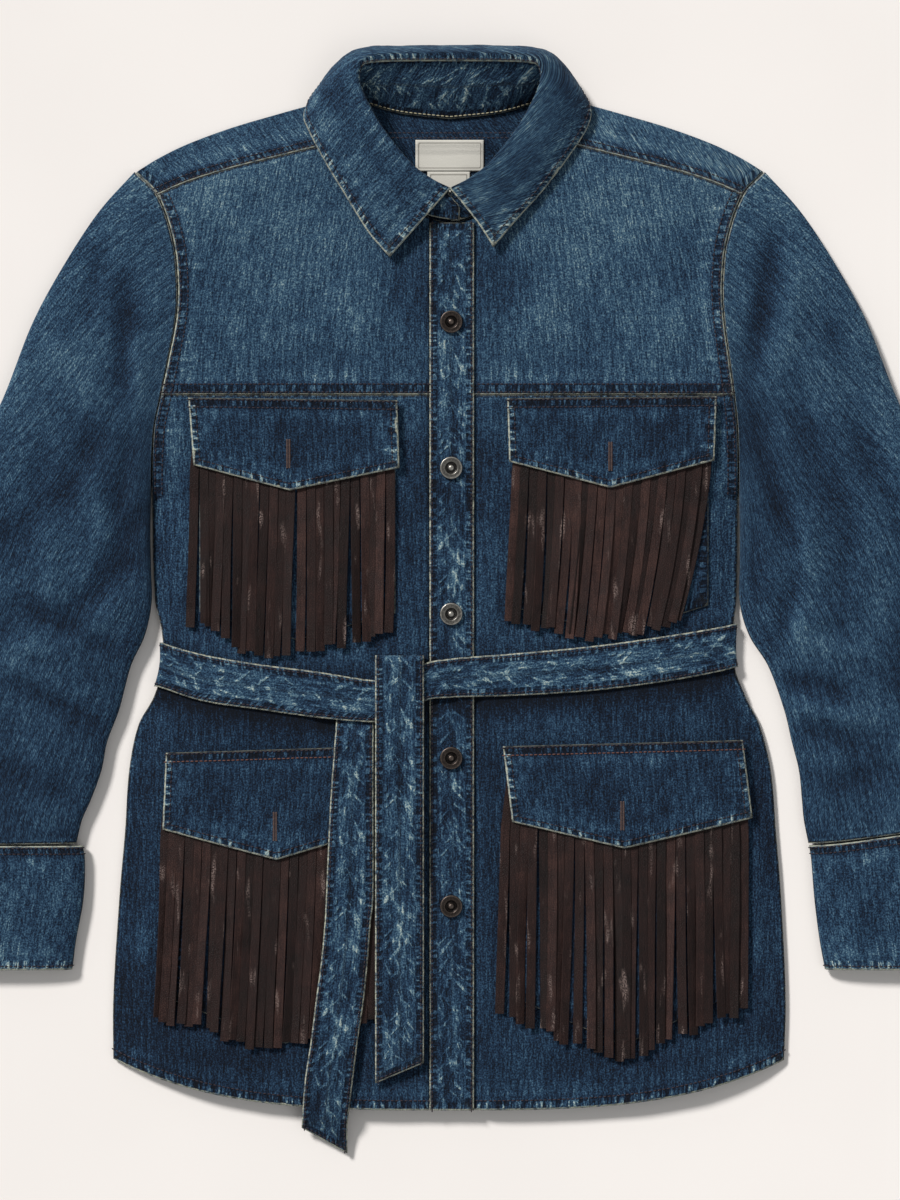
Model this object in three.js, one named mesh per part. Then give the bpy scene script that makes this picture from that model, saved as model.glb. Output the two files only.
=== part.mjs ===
import * as THREE from 'three';

// Denim overshirt with leather fringe, laid flat on its back with its own belt tied.
// Millimetres. +Z up from the surface it lies on, +Y toward the collar, +X to the wearer's left.

const CLOTH = 1.2; // one layer of denim
const DOUBLE = 2.0; // two layers sewn together: cuffs, collar, belt, placket
const PATCH = 1.2;
const FLAP = 1.6;
const LEATHER = 1.2;
const SEAM = 0.35; // air left between pieces that are sewn edge to edge
const REST = 0.5; // air left under a piece that lies on another

const BODY_HEIGHT = 13.0; // front of the body over the surface, away from its edges
const EDGE_HEIGHT = 3.6; // top of the front at the side seams
const SHOULDER_HEIGHT = 3.2;
const ROUND = 78; // how far in from a side seam the front keeps rising
const SHOULDER_ROUND = 60;
const CINCH = 0.8; // how much lower the front is under the belt
const BELT_LIFT = 2.4; // how far the back rises over the belt's rear strip
const CHEST_SEAM = 154;
const BACK_SEAM = 200;
const NECK_HALF = 75;
const NECK_FRONT = 284;
const PLACKET_LEFT = -15.4;
const PLACKET_RIGHT = 18.0;
const PLACKET_DROP = 1.3;
const UNDERLAP = 13; // the left front runs this far past the middle, under the placket
const DIP = 1.75; // how far the left front drops under the placket
const ARM_TOP = 322;
const ARM_PIT = 75;
const ARM_HEIGHT = 13.5;
const BUTTON_RADIUS = 8.5;
const BUTTON_YS = [208.5, 99, -10.5, -118.5, -229.5];

const clamp = (t, a, b) => Math.min(b, Math.max(a, t));
const mix = (a, b, t) => a + (b - a) * t;
const ease = (t) => {
  const c = clamp(t, 0, 1);
  return c * c * (3 - 2 * c);
};
const swell = (t) => 1 - Math.pow(1 - clamp(t, 0, 1), 2.2);
const wobble = (n) => {
  const s = Math.sin(n * 12.9898 + 4.1414) * 43758.5453;
  return 2 * (s - Math.floor(s)) - 1;
};

// Smooth reading of one column of a table whose key column rises.
function read(rows, key, at, name) {
  let i = 0;
  while (i < rows.length - 2 && at > rows[i + 1][key]) i += 1;
  const a = rows[Math.max(i - 1, 0)];
  const b = rows[i];
  const c = rows[i + 1];
  const d = rows[Math.min(i + 2, rows.length - 1)];
  const t = clamp((at - b[key]) / (c[key] - b[key]), 0, 1);
  const span = c[key] - b[key];
  const mb = ((c[name] - a[name]) / (c[key] - a[key])) * span;
  const mc = ((d[name] - b[name]) / (d[key] - b[key])) * span;
  const t2 = t * t;
  const t3 = t2 * t;
  return (2 * t3 - 3 * t2 + 1) * b[name] + (t3 - 2 * t2 + t) * mb
    + (3 * t2 - 2 * t3) * c[name] + (t3 - t2) * mc;
}

// Half width of the body at each height: armholes above y 75, side seams below.
const EDGE = [
  { y: -345, left: 253.5, right: 251.5 },
  { y: -300, left: 253.5, right: 252.7 },
  { y: -225, left: 249, right: 249.3 },
  { y: -172, left: 244.5, right: 245.2 },
  { y: -128, left: 241.5, right: 241.5 },
  { y: -94, left: 234.5, right: 233 },
  { y: -72, left: 222.5, right: 222 },
  { y: -48, left: 215.8, right: 213.5 },
  { y: -22, left: 217, right: 213 },
  { y: 0, left: 222, right: 215.5 },
  { y: 75, left: 224, right: 216.5 },
  { y: 127, left: 222, right: 215.5 },
  { y: 152, left: 217, right: 213 },
  { y: 185, left: 210, right: 208.5 },
  { y: 212, left: 205, right: 205 },
  { y: 238, left: 204, right: 204 },
  { y: 270, left: 207.5, right: 207.5 },
  { y: 305, left: 220, right: 220 },
  { y: 322, left: 236.5, right: 236 },
];
// Shoulder fold and the seam in front of it.
const SHOULDER = [
  { x: 0, fold: 391, seam: 345 },
  { x: 75, fold: 380.5, seam: 345 },
  { x: 105, fold: 372.8, seam: 339 },
  { x: 133, fold: 365, seam: 332 },
  { x: 165, fold: 355.5, seam: 324 },
  { x: 198, fold: 343.3, seam: 314 },
  { x: 220, fold: 332.5, seam: 304.5 },
  { x: 237, fold: 322, seam: 296 },
];
const edgeX = (side, y) => read(EDGE, 'y', y, side < 0 ? 'left' : 'right');
const foldY = (x) => read(SHOULDER, 'x', Math.abs(x), 'fold');
const seamY = (x) => read(SHOULDER, 'x', Math.abs(x), 'seam');
const hemY = (x) => -383 + 38 * Math.pow(Math.abs(x) / 254, 3.2);
const neckY = (x) => NECK_FRONT + 61 * Math.pow(Math.abs(x) / NECK_HALF, 1.8);
const backNeckY = (x) => 363 + 17.5 * Math.pow(Math.abs(x) / NECK_HALF, 2);

// Largest folds of the cloth: a soft trough from one end to the other.
const FOLDS = [
  { x0: -70, y0: 262, x1: -120, y1: 205, wide: 12, deep: 0.7 },
  { x0: 62, y0: 268, x1: 112, y1: 212, wide: 12, deep: 0.7 },
  { x0: -210, y0: 96, x1: -215, y1: 10, wide: 7, deep: 0.7 },
  { x0: 208, y0: 100, x1: 208, y1: 8, wide: 6, deep: 0.5 },
  { x0: -228, y0: -86, x1: -226, y1: -150, wide: 8, deep: 0.9 },
  { x0: 229, y0: -84, x1: 231, y1: -160, wide: 8, deep: 0.9 },
  { x0: 29, y0: -84, x1: 31, y1: -190, wide: 7, deep: 0.6 },
  { x0: -243, y0: 238, x1: -246, y1: 150, wide: 9, deep: 2.2 },
  { x0: -262, y0: 262, x1: -276, y1: 210, wide: 8, deep: 1.2 },
  { x0: -228, y0: 66, x1: -263, y1: 24, wide: 8, deep: 1.8 },
  { x0: -233, y0: 36, x1: -282, y1: -8, wide: 9, deep: 2.0 },
  { x0: -250, y0: -38, x1: -322, y1: -2, wide: 10, deep: 2.2 },
  { x0: -262, y0: -96, x1: -330, y1: -58, wide: 10, deep: 1.6 },
  { x0: -340, y0: 60, x1: -378, y1: -40, wide: 13, deep: 1.5 },
  { x0: 243, y0: 272, x1: 226, y1: 170, wide: 9, deep: 2.4 },
  { x0: 224, y0: 150, x1: 258, y1: 40, wide: 11, deep: 2.2 },
  { x0: 262, y0: 20, x1: 246, y1: -34, wide: 8, deep: 1.6 },
  { x0: 250, y0: -60, x1: 300, y1: -70, wide: 8, deep: 2.2 },
  { x0: 262, y0: -96, x1: 322, y1: -112, wide: 9, deep: 1.6 },
  { x0: 300, y0: 140, x1: 350, y1: 40, wide: 13, deep: 1.4 },
];
function trough(x, y) {
  let sum = 0;
  for (const f of FOLDS) {
    const dx = f.x1 - f.x0;
    const dy = f.y1 - f.y0;
    const long = Math.hypot(dx, dy);
    const s = ((x - f.x0) * dx + (y - f.y0) * dy) / long;
    const off = ((x - f.x0) * dy - (y - f.y0) * dx) / long;
    const ends = ease((s + 0.25 * long) / (0.5 * long))
      * ease((1.25 * long - s) / (0.5 * long));
    sum += f.deep * ends * Math.exp(-((off / f.wide) ** 2));
  }
  return sum;
}

const lift = (y) => BELT_LIFT * ease((y + 79) / 9) * ease((-5 - y) / 9);
function armRise(y) {
  const c = (ARM_TOP - y) / (ARM_TOP - ARM_PIT);
  if (c <= 0 || c >= 1) return 0;
  return ARM_HEIGHT * Math.pow(1 - Math.pow(Math.abs(2 * c - 1), 2.6), 1 / 2.6);
}
// Outer face of the body's front.
function frontTop(x, y) {
  const inside = edgeX(x < 0 ? -1 : 1, y) - Math.abs(x);
  const edge = Math.max(EDGE_HEIGHT + lift(y), armRise(y));
  const middle = BODY_HEIGHT - CINCH * Math.exp(-(((y + 52) / 46) ** 2))
    - 1.6 * ease((-290 - y) / 95);
  const across = mix(edge, middle, swell(inside / ROUND));
  const down = swell((foldY(x) - y) / SHOULDER_ROUND);
  return mix(SHOULDER_HEIGHT, across, down) - trough(x, y) * Math.min(1, inside / 12 + 0.4);
}
const dip = (x) => DIP * ease((25 - x) / 6.5);

// Makes a closed solid from a grid of outer and inner points.
function slab(cols, rows, at, keep = () => true, wrap = false) {
  const outer = [];
  const inner = [];
  const index = new Map();
  const place = (i, j) => {
    const c = wrap ? i % cols : i;
    const id = c * 1000 + j;
    if (!index.has(id)) {
      const [a, b] = at(c, j);
      index.set(id, outer.length);
      outer.push(a);
      inner.push(b);
    }
    return index.get(id);
  };
  const has = (i, j) => {
    if (j < 0 || j >= rows) return false;
    if (wrap) return keep((i + cols) % cols, j);
    return i >= 0 && i < cols && keep(i, j);
  };
  const faces = [];
  const wall = (p, q) => {
    faces.push([[0, p], [1, p], [1, q]], [[0, p], [1, q], [0, q]]);
  };
  for (let i = 0; i < cols; i += 1) {
    for (let j = 0; j < rows; j += 1) {
      if (!has(i, j)) continue;
      const a = place(i, j);
      const b = place(i + 1, j);
      const c = place(i + 1, j + 1);
      const d = place(i, j + 1);
      faces.push([[0, a], [0, b], [0, c]], [[0, a], [0, c], [0, d]]);
      faces.push([[1, a], [1, c], [1, b]], [[1, a], [1, d], [1, c]]);
      if (!has(i, j - 1)) wall(a, b);
      if (!has(i + 1, j)) wall(b, c);
      if (!has(i, j + 1)) wall(c, d);
      if (!has(i - 1, j)) wall(d, a);
    }
  }
  const n = outer.length;
  const points = outer.concat(inner);
  const flat = faces.map((f) => f.map(([layer, k]) => k + layer * n));
  return close(points, flat);
}

// Turns the faces outward, whichever way the grid ran.
function close(points, faces) {
  let volume = 0;
  for (const [a, b, c] of faces) {
    const p = points[a];
    const q = points[b];
    const r = points[c];
    volume += p[0] * (q[1] * r[2] - q[2] * r[1]) - p[1] * (q[0] * r[2] - q[2] * r[0])
      + p[2] * (q[0] * r[1] - q[1] * r[0]);
  }
  const order = volume < 0 ? faces.map(([a, b, c]) => [a, c, b]) : faces;
  const g = new THREE.BufferGeometry();
  g.setAttribute('position', new THREE.Float32BufferAttribute(points.flat(), 3));
  g.setIndex(order.flat());
  g.computeVertexNormals();
  return g;
}

// Finds where the column at fraction k of the half width meets a curve y = f(x).
function meet(side, from, k, f) {
  let x = mix(from, 220, k);
  for (let n = 0; n < 30; n += 1) x = mix(from, edgeX(side, f(side * x)), k);
  return [x, f(side * x)];
}

const group = new THREE.Group();
const denim = new THREE.MeshStandardMaterial({ color: 0x37506a, roughness: 0.85 });
const darkDenim = new THREE.MeshStandardMaterial({ color: 0x26364c, roughness: 0.85 });
const leather = new THREE.MeshStandardMaterial({ color: 0x32282a, roughness: 0.5 });
const brass = new THREE.MeshStandardMaterial({ color: 0x6b6560, roughness: 0.4, metalness: 0.8 });
const label = new THREE.MeshStandardMaterial({ color: 0xc4c1b8, roughness: 0.8 });
function add(name, geometry, material) {
  const mesh = new THREE.Mesh(geometry, material);
  mesh.name = name;
  group.add(mesh);
}

// Front and back panels of the body, from a seam down to the hem.
const ROW_YS = [
  150, 120, 98, 85, 74, 52, 26, 8, -5, -14, -34, -50, -60, -70, -79, -96, -125, -165, -205, -250, -300,
];
function bodyRows(top) {
  return [top].concat(ROW_YS.filter((y) => y < top - 8));
}
function frontPanel(side, inner, cols) {
  const ys = bodyRows(CHEST_SEAM - SEAM);
  const last = 3;
  const rows = ys.length - 1 + last;
  const from = inner[inner.length - 1];
  const at = (i, j) => {
    const n = i - inner.length + 1;
    const k = 1 - Math.pow(1 - Math.max(n, 0) / cols, 1.25);
    const xAt = (y) => (n < 0 ? inner[i] : mix(from, edgeX(side, y), k));
    let y;
    if (j < ys.length) {
      y = ys[j];
    } else {
      const low = n < 0 ? hemY(inner[i]) : meet(side, from, k, hemY)[1];
      y = mix(ys[ys.length - 1], low, (j - ys.length + 1) / last);
    }
    const x = side * xAt(y);
    const z = frontTop(x, y) - (side > 0 ? dip(x) : 0);
    return [[x, y, z], [x, y, z - CLOTH]];
  };
  return slab(cols + inner.length - 1, rows, at);
}
add('right_front_panel', frontPanel(-1, [-PLACKET_LEFT + SEAM], 11), denim);
add('left_front_panel', frontPanel(1, [-UNDERLAP, PLACKET_RIGHT + 0.5, 25.2], 10), denim);

function backPanel(cols) {
  const ys = bodyRows(BACK_SEAM - SEAM);
  const last = 3;
  const rows = ys.length - 1 + last;
  const at = (i, j) => {
    const c = (2 * i) / cols - 1;
    const side = c < 0 ? -1 : 1;
    const k = Math.abs(c);
    let y;
    if (j < ys.length) {
      y = ys[j];
    } else {
      const low = meet(side, 0, k, hemY)[1];
      y = mix(ys[ys.length - 1], low, (j - ys.length + 1) / last);
    }
    const x = side * k * edgeX(side, y);
    return [[x, y, lift(y)], [x, y, lift(y) + CLOTH]];
  };
  return slab(cols, rows, at);
}
add('back_panel', backPanel(14), denim);

// Front yokes, between the chest seam, the armhole, the shoulder seam and the neck.
function frontYoke(side, inner) {
  const topY = (x) => (Math.abs(x) < NECK_HALF ? neckY(x) : seamY(x)) - SEAM;
  const outward = 6;
  const cols = inner.length - 1 + outward;
  const rows = 7;
  const at = (i, j) => {
    const n = i - inner.length + 1;
    const k = Math.max(n, 0) / outward;
    const high = n < 0 ? topY(inner[i]) : meet(side, NECK_HALF, k, (x) => seamY(x) - SEAM)[1];
    const y = mix(CHEST_SEAM, high, j / rows);
    const x = side * (n < 0 ? inner[i] : mix(NECK_HALF, edgeX(side, y), k));
    const z = frontTop(x, y) - (side > 0 ? dip(x) : 0);
    return [[x, y, z], [x, y, z - CLOTH]];
  };
  return slab(cols, rows, at);
}
add('right_front_yoke', frontYoke(-1, [-PLACKET_LEFT + SEAM, 30, 45, 60, NECK_HALF]), denim);
add(
  'left_front_yoke',
  frontYoke(1, [-UNDERLAP, PLACKET_RIGHT + 0.5, 25.2, 42, 60, NECK_HALF]),
  denim,
);

// Back yoke, which turns over the shoulder fold to the seam in front of it.
function backYoke() {
  const half = 6;
  const necks = 4;
  const cols = 2 * half + 2 * necks;
  const backRows = 6;
  const frontRows = 5;
  const rows = backRows + 1 + frontRows;
  const at = (i, j) => {
    const c = i - half - necks;
    const side = c < 0 ? -1 : 1;
    const n = Math.abs(c);
    if (n < necks) {
      const x = side * NECK_HALF * (n / necks);
      const y = mix(BACK_SEAM, backNeckY(x), Math.min(1, j / backRows));
      return [[x, y, 0], [x, y, CLOTH]];
    }
    const k = (n - necks) / half;
    const xTop = mix(NECK_HALF, edgeX(side, 330), k);
    const fold = Math.min(foldY(xTop), 380.5);
    const wide = (y) => side * mix(NECK_HALF, edgeX(side, y), k);
    if (j <= backRows) {
      const y = mix(BACK_SEAM, fold - 1.5, j / backRows);
      return [[wide(y), y, 0], [wide(y), y, CLOTH]];
    }
    if (j === backRows + 1) {
      const x = wide(fold - 0.6);
      return [[x, fold, 1.6], [x, fold - 1.2, 1.6]];
    }
    let x = xTop;
    for (let m = 0; m < 30; m += 1) x = mix(NECK_HALF, edgeX(side, seamY(x)), k);
    const y = mix(fold - 1.5, seamY(x), (j - backRows - 2) / (frontRows - 1));
    const px = wide(y);
    const z = frontTop(px, y);
    return [[px, y, z], [px, y, z - CLOTH]];
  };
  const keep = (i, j) => j < backRows || i < half || i >= half + 2 * necks;
  return slab(cols, rows, at, keep);
}
add('back_yoke', backYoke(), denim);

// Button placket, sewn to the wearer's right front and lying over the left.
function placket() {
  const top = NECK_FRONT - 1;
  const rows = 18;
  const at = (i, j) => {
    const x = mix(PLACKET_LEFT, PLACKET_RIGHT, i / 2);
    const y = mix(top, -383, j / rows);
    const z = frontTop(x, y) - PLACKET_DROP;
    return [[x, y, z + DOUBLE], [x, y, z]];
  };
  return slab(2, rows, at);
}
add('placket', placket(), denim);
const placketTop = (x, y) => frontTop(x, y) - PLACKET_DROP + DOUBLE;

// Sleeves: flattened tubes. Each row is a section from its outer point to its inner one.
const SLEEVE = [
  { s: 0, ox: 237.2, oy: 322, ix: 224.4, iy: 75, ir: 216.9, bow: 1, high: 13.5 },
  { s: 1, ox: 264, oy: 292, ix: 225, iy: 52, ir: 217.4, bow: 0.75, high: 14.6 },
  { s: 2, ox: 289, oy: 254, ix: 224.6, iy: 26, ir: 217.4, bow: 0.45, high: 15.6 },
  { s: 3, ox: 313.5, oy: 209, ix: 224.2, iy: -2, ir: 217.6, bow: 0.2, high: 16.2 },
  { s: 4, ox: 335, oy: 154, ix: 229.5, iy: -27, ir: 225, bow: 0, high: 16.4 },
  { s: 5, ox: 357, oy: 108, ix: 240, iy: -50, ir: 239.3, bow: 0, high: 16.2 },
  { s: 6, ox: 375, oy: 62, ix: 248.5, iy: -82, ir: 251, bow: 0, high: 15.8 },
  { s: 7, ox: 389, oy: 14, ix: 257.5, iy: -106, ir: 256.8, bow: 0, high: 15.4 },
  { s: 8, ox: 398, oy: -35, ix: 262, iy: -128, ir: 262.3, bow: 0, high: 15 },
  { s: 9, ox: 403.5, oy: -90, ix: 269.5, iy: -149, ir: 264.5, bow: 0, high: 14.6 },
  { s: 10, ox: 404, oy: -140, ix: 276.5, iy: -165, ir: 266, bow: 0, high: 14 },
  { s: 11, ox: 402, oy: -184, ix: 281, iy: -183, ir: 269.5, bow: 0, high: 13.4 },
];
const sleeveRow = (s, name) => read(SLEEVE, 's', s, name);

// Point of a sleeve's surface: s along it, turn round it, wall taken off when it is the inside.
function sleevePoint(side, s, turn, wall) {
  const o = [sleeveRow(s, 'ox'), sleeveRow(s, 'oy')];
  const i = [sleeveRow(s, side < 0 ? 'ix' : 'ir'), sleeveRow(s, 'iy')];
  const wide = Math.hypot(o[0] - i[0], o[1] - i[1]);
  const high = sleeveRow(s, 'high');
  const cos = Math.cos(turn);
  const sin = Math.sin(turn);
  const across = Math.sign(cos) * Math.pow(Math.abs(cos), 2 / 2.6);
  const up = Math.sign(sin) * Math.pow(Math.abs(sin), 2 / 2.6);
  const c = 0.5 + 0.5 * across * (1 - (2 * wall) / wide);
  let x = mix(o[0], i[0], c);
  const y = mix(o[1], i[1], c);
  const bow = sleeveRow(s, 'bow');
  if (bow > 0) {
    const yy = mix(ARM_TOP, ARM_PIT, c);
    const line = mix(236.8, side < 0 ? 224 : 216.5, c);
    x += bow * (edgeX(side, yy) + 0.4 - line);
  }
  const low = 0.42 * high;
  let z = low + (up > 0 ? (high - low - wall) * up : (low * 1.12 - wall) * up);
  z = Math.max(z, wall);
  if (up > 0) z -= trough(side * x, y) * up;
  return [side * x, y, z];
}
function sleeve(side) {
  const cols = 20;
  const rows = 13;
  const at = (i, j) => {
    const turn = (2 * Math.PI * i) / cols;
    const s = (11 * j) / rows;
    return [sleevePoint(side, s, turn, 0), sleevePoint(side, s, turn, CLOTH)];
  };
  return slab(cols, rows, at, () => true, true);
}
add('right_sleeve', sleeve(-1), denim);
add('left_sleeve', sleeve(1), denim);

// Cuffs: two layers, open at the hand.
const CUFF = [
  { y: -277.8, outer: 400.5, left: 284, right: 282, high: 12.6 },
  { y: -255, outer: 400, left: 281, right: 277.8, high: 13.2 },
  { y: -225, outer: 399.5, left: 275.6, right: 274, high: 13.6 },
  { y: -196, outer: 400, left: 274.4, right: 271.6, high: 13.8 },
  { y: -184.6, outer: 401.5, left: 276, right: 270, high: 13.6 },
];
function cuff(side) {
  const cols = 22;
  const rows = 4;
  const at = (i, j) => {
    const turn = (2 * Math.PI * i) / cols;
    const row = CUFF[j];
    const point = (wall) => {
      const cos = Math.cos(turn);
      const sin = Math.sin(turn);
      const across = Math.sign(cos) * Math.pow(Math.abs(cos), 2 / 2.8);
      const up = Math.sign(sin) * Math.pow(Math.abs(sin), 2 / 2.8);
      const inner = side < 0 ? row.left : row.right;
      const half = (row.outer - inner) / 2 - wall;
      const low = 0.42 * row.high;
      const rise = up > 0 ? (row.high - low - wall) * up : (low * 1.12 - wall) * up;
      const x = (row.outer + inner) / 2 + half * across;
      return [side * x, row.y, Math.max(low + rise, wall)];
    };
    return [point(0), point(DOUBLE)];
  };
  return slab(cols, rows, at, () => true, true);
}
add('right_cuff', cuff(-1), denim);
add('left_cuff', cuff(1), denim);

// Pockets: a patch, a leather fringe over it and a pointed flap over the fringe's root.
const POCKETS = [
  {
    name: 'right_chest', x0: -188, x1: -41, top: 146, low0: -9, low1: -10, point: -30,
    flap: [[-196, 151.5], [-39.5, 149.5], [-37.8, 99], [-120, 82], [-192, 101]],
    fringe: { x0: -195, x1: -41, lean0: -2.5, lean1: -1.5, count: 23 },
  },
  {
    name: 'left_chest', x0: 49, x1: 194, top: 146, low0: -6, low1: -4, point: -26,
    flap: [[42.8, 151], [199.5, 152.5], [198, 104.5], [120, 84], [44.3, 103.5]],
    fringe: { x0: 47, x1: 198.5, lean0: -5.5, lean1: -25, count: 23 },
  },
  {
    name: 'right_lower', x0: -208, x1: -41, top: -121, low0: -300, low1: -301, point: -333,
    flap: [[-213, -114.5], [-39, -109], [-37.5, -167], [-130, -194.5], [-215.5, -172]],
    fringe: { x0: -217, x1: -40, lean0: -5, lean1: -1, count: 27 },
  },
  {
    name: 'left_lower', x0: 45, x1: 214, top: -114, low0: -297, low1: -295, point: -334,
    flap: [[39.5, -109.5], [219.7, -105], [227, -163.5], [130.5, -186], [46.5, -166]],
    fringe: { x0: 38.5, x1: 224, lean0: -4.5, lean1: 0.5, count: 27 },
  },
];
// Where the strands of each fringe end, from its left side to its right.
const STRAND_ENDS = {
  right_chest: [
    { u: 0, y: -20 }, { u: 0.1, y: -17 }, { u: 0.15, y: -23 }, { u: 0.25, y: -34 },
    { u: 0.32, y: -41 }, { u: 0.45, y: -43 }, { u: 0.55, y: -37 }, { u: 0.74, y: -34 },
    { u: 0.84, y: -29 }, { u: 1, y: -24 },
  ],
  left_chest: [
    { u: 0, y: -17 }, { u: 0.2, y: -22 }, { u: 0.43, y: -29 }, { u: 0.66, y: -26 },
    { u: 0.89, y: -20 }, { u: 1, y: -13 },
  ],
  right_lower: [
    { u: 0, y: -311 }, { u: 0.1, y: -317 }, { u: 0.21, y: -321 }, { u: 0.3, y: -327 },
    { u: 0.38, y: -331 }, { u: 0.46, y: -335 }, { u: 0.62, y: -331 }, { u: 0.8, y: -321 },
    { u: 1, y: -310 },
  ],
  left_lower: [
    { u: 0, y: -310 }, { u: 0.1, y: -316 }, { u: 0.18, y: -323 }, { u: 0.26, y: -330 },
    { u: 0.37, y: -337 }, { u: 0.45, y: -343 }, { u: 0.57, y: -341 }, { u: 0.65, y: -333 },
    { u: 0.81, y: -319 }, { u: 1, y: -307 },
  ],
};
const PATCH_LOW = REST;
const FRINGE_LOW = PATCH_LOW + PATCH + REST + 0.2;
const FLAP_LOW = FRINGE_LOW + LEATHER + REST;

function patch(p) {
  const cols = 6;
  const rows = 7;
  const at = (i, j) => {
    const u = i / cols;
    const x = mix(p.x0, p.x1, u);
    const low = mix(mix(p.low0, p.low1, u), p.point, 1 - Math.abs(2 * u - 1));
    const y = mix(p.top, low, j / rows);
    const z = frontTop(x, y) + PATCH_LOW;
    return [[x, y, z + PATCH], [x, y, z]];
  };
  return slab(cols, rows, at);
}
function flap(p) {
  const cols = 10;
  const rows = 4;
  const [tl, tr, br, point, bl] = p.flap;
  const share = (point[0] - bl[0]) / (br[0] - bl[0]);
  const at = (i, j) => {
    const u = i / cols;
    const w = u < 0.5 ? mix(0, share, u * 2) : mix(share, 1, u * 2 - 1);
    const v = j / rows;
    const lowY = u < 0.5 ? mix(bl[1], point[1], u * 2) : mix(point[1], br[1], u * 2 - 1);
    const x = mix(mix(tl[0], tr[0], w), mix(bl[0], br[0], w), v);
    const y = mix(mix(tl[1], tr[1], w), lowY, v);
    const z = frontTop(x, y) + FLAP_LOW;
    return [[x, y, z + FLAP], [x, y, z]];
  };
  return slab(cols, rows, at);
}
function fringe(p) {
  const f = p.fringe;
  const ends = STRAND_ENDS[p.name];
  const bandTop = p.top - 5;
  const bandLow = bandTop - 11;
  const pitch = (f.x1 - f.x0) / f.count;
  const closer = Math.min(0, (f.lean1 - f.lean0) / f.count);
  const gap = 0.8;
  const rows = 4;
  const at = (i, j) => {
    const n = Math.floor(i / 2);
    const u = (n + 0.5) / f.count;
    const side = i % 2 === 0 ? -0.5 : 0.5;
    const x0 = mix(f.x0, f.x1, u) + side * (pitch - gap);
    if (j < 2) {
      const y = j === 0 ? bandTop : bandLow;
      const z = frontTop(x0, y) + FRINGE_LOW;
      return [[x0, y, z + LEATHER], [x0, y, z]];
    }
    const t = (j - 1) / (rows - 1);
    const low = read(ends, 'u', u, 'y') + 1.6 * wobble(n + f.count * p.top);
    const y = mix(bandLow, low, t) + side * 0.7 * t * wobble(n * 3 + 1);
    const sway = 0.9 * Math.sin(u * 17 + p.top) * Math.sin(Math.PI * t * 0.9);
    const lean = mix(f.lean0, f.lean1, u) * t * (0.2 + 0.8 * t);
    const x = x0 + lean + sway + side * (closer - 0.9) * t;
    const z = frontTop(x, y) + FRINGE_LOW;
    return [[x, y, z + LEATHER], [x, y, z]];
  };
  const keep = (i, j) => j === 0 || i % 2 === 0;
  return slab(f.count * 2 - 1, rows, at, keep);
}
for (const p of POCKETS) {
  add(p.name + '_pocket', patch(p), denim);
  add(p.name + '_fringe', fringe(p), leather);
  add(p.name + '_flap', flap(p), darkDenim);
}

// Belt round the waist: over the front, round both sides and under the back.
const BELT = [
  { x: -218, upper: -32, lower: -65.5 },
  { x: -187, upper: -40.5, lower: -75.5 },
  { x: -144, upper: -48, lower: -82 },
  { x: -100, upper: -53.6, lower: -88 },
  { x: -58, upper: -60, lower: -91.5 },
  { x: -36, upper: -60, lower: -90 },
  { x: -19.5, upper: -47.8, lower: -76 },
  { x: 0, upper: -44, lower: -73.2 },
  { x: 43, upper: -40.5, lower: -72 },
  { x: 107, upper: -34.5, lower: -68 },
  { x: 172, upper: -25.5, lower: -59.5 },
  { x: 216, upper: -18, lower: -51 },
];
const LEG = { left: -56, right: -19.5 };
function beltLow(x, y) {
  const side = x < 0 ? -1 : 1;
  const raised = 2 * (REST + DOUBLE) * 0.5 + REST;
  const knot = raised * ease((x + 118) / 24) * ease((8 - x) / 10);
  const over = (DOUBLE - PLACKET_DROP + REST) * ease((x + 24) / 7) * ease((27 - x) / 7);
  const near = 0.5 * ease((Math.abs(x) - edgeX(side, y) + 40) / 30);
  return frontTop(x, y) + Math.max(REST + near, knot, over);
}
function beltWaist() {
  const stations = [];
  const front = (x, end) => {
    const upper = end === undefined ? read(BELT, 'x', x, 'upper') : end[0];
    const lower = end === undefined ? read(BELT, 'x', x, 'lower') : end[1];
    stations.push({ kind: 'front', x, upper, lower });
  };
  const wrapRound = (side, upper, lower, down) => {
    for (let n = 0; n <= 4; n += 1) {
      const a = (Math.PI / 2 - (Math.PI * n) / 4) * (down ? 1 : -1);
      stations.push({ kind: 'side', side, a, upper, lower });
    }
  };
  const right = [-36, -18, -2, 12, 28, 50, 75, 100, 125, 150, 168, 184, 197, 207];
  for (const x of right) front(x, x === -36 ? [-50, -79] : undefined);
  wrapRound(1, -18, -50.5, true);
  for (const u of [0.14, 0.32, 0.5, 0.68, 0.86]) {
    stations.push({ kind: 'back', u, upper: mix(-18, -32, u), lower: mix(-50.5, -65, u) });
  }
  wrapRound(-1, -32, -65, false);
  for (const x of [-210, -200, -187, -170, -150, -128, -108, -92, -74, -57, -40]) front(x);
  const rows = stations.length - 1;
  const at = (i, j) => {
    const st = stations[j];
    const y = mix(st.upper, st.lower, i / 3);
    if (st.kind === 'front') {
      const z = beltLow(st.x, y);
      return [[st.x, y, z + DOUBLE], [st.x, y, z]];
    }
    if (st.kind === 'back') {
      const x = mix(edgeX(1, -40), -edgeX(-1, -40), st.u);
      return [[x, y, 0], [x, y, DOUBLE]];
    }
    const x0 = edgeX(st.side, y) + 0.35;
    const high = frontTop(st.side * (x0 - 1), y) + REST + 0.5;
    const mid = (high + DOUBLE) / 2;
    const half = (high - DOUBLE) / 2;
    const c = Math.cos(st.a);
    const s = Math.sin(st.a);
    return [
      [st.side * (x0 + (0.5 + DOUBLE) * c), y, mid + (half + DOUBLE) * s],
      [st.side * (x0 + 0.5 * c), y, mid + half * s],
    ];
  };
  return slab(3, rows, at);
}
add('belt_waist', beltWaist(), denim);

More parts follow.
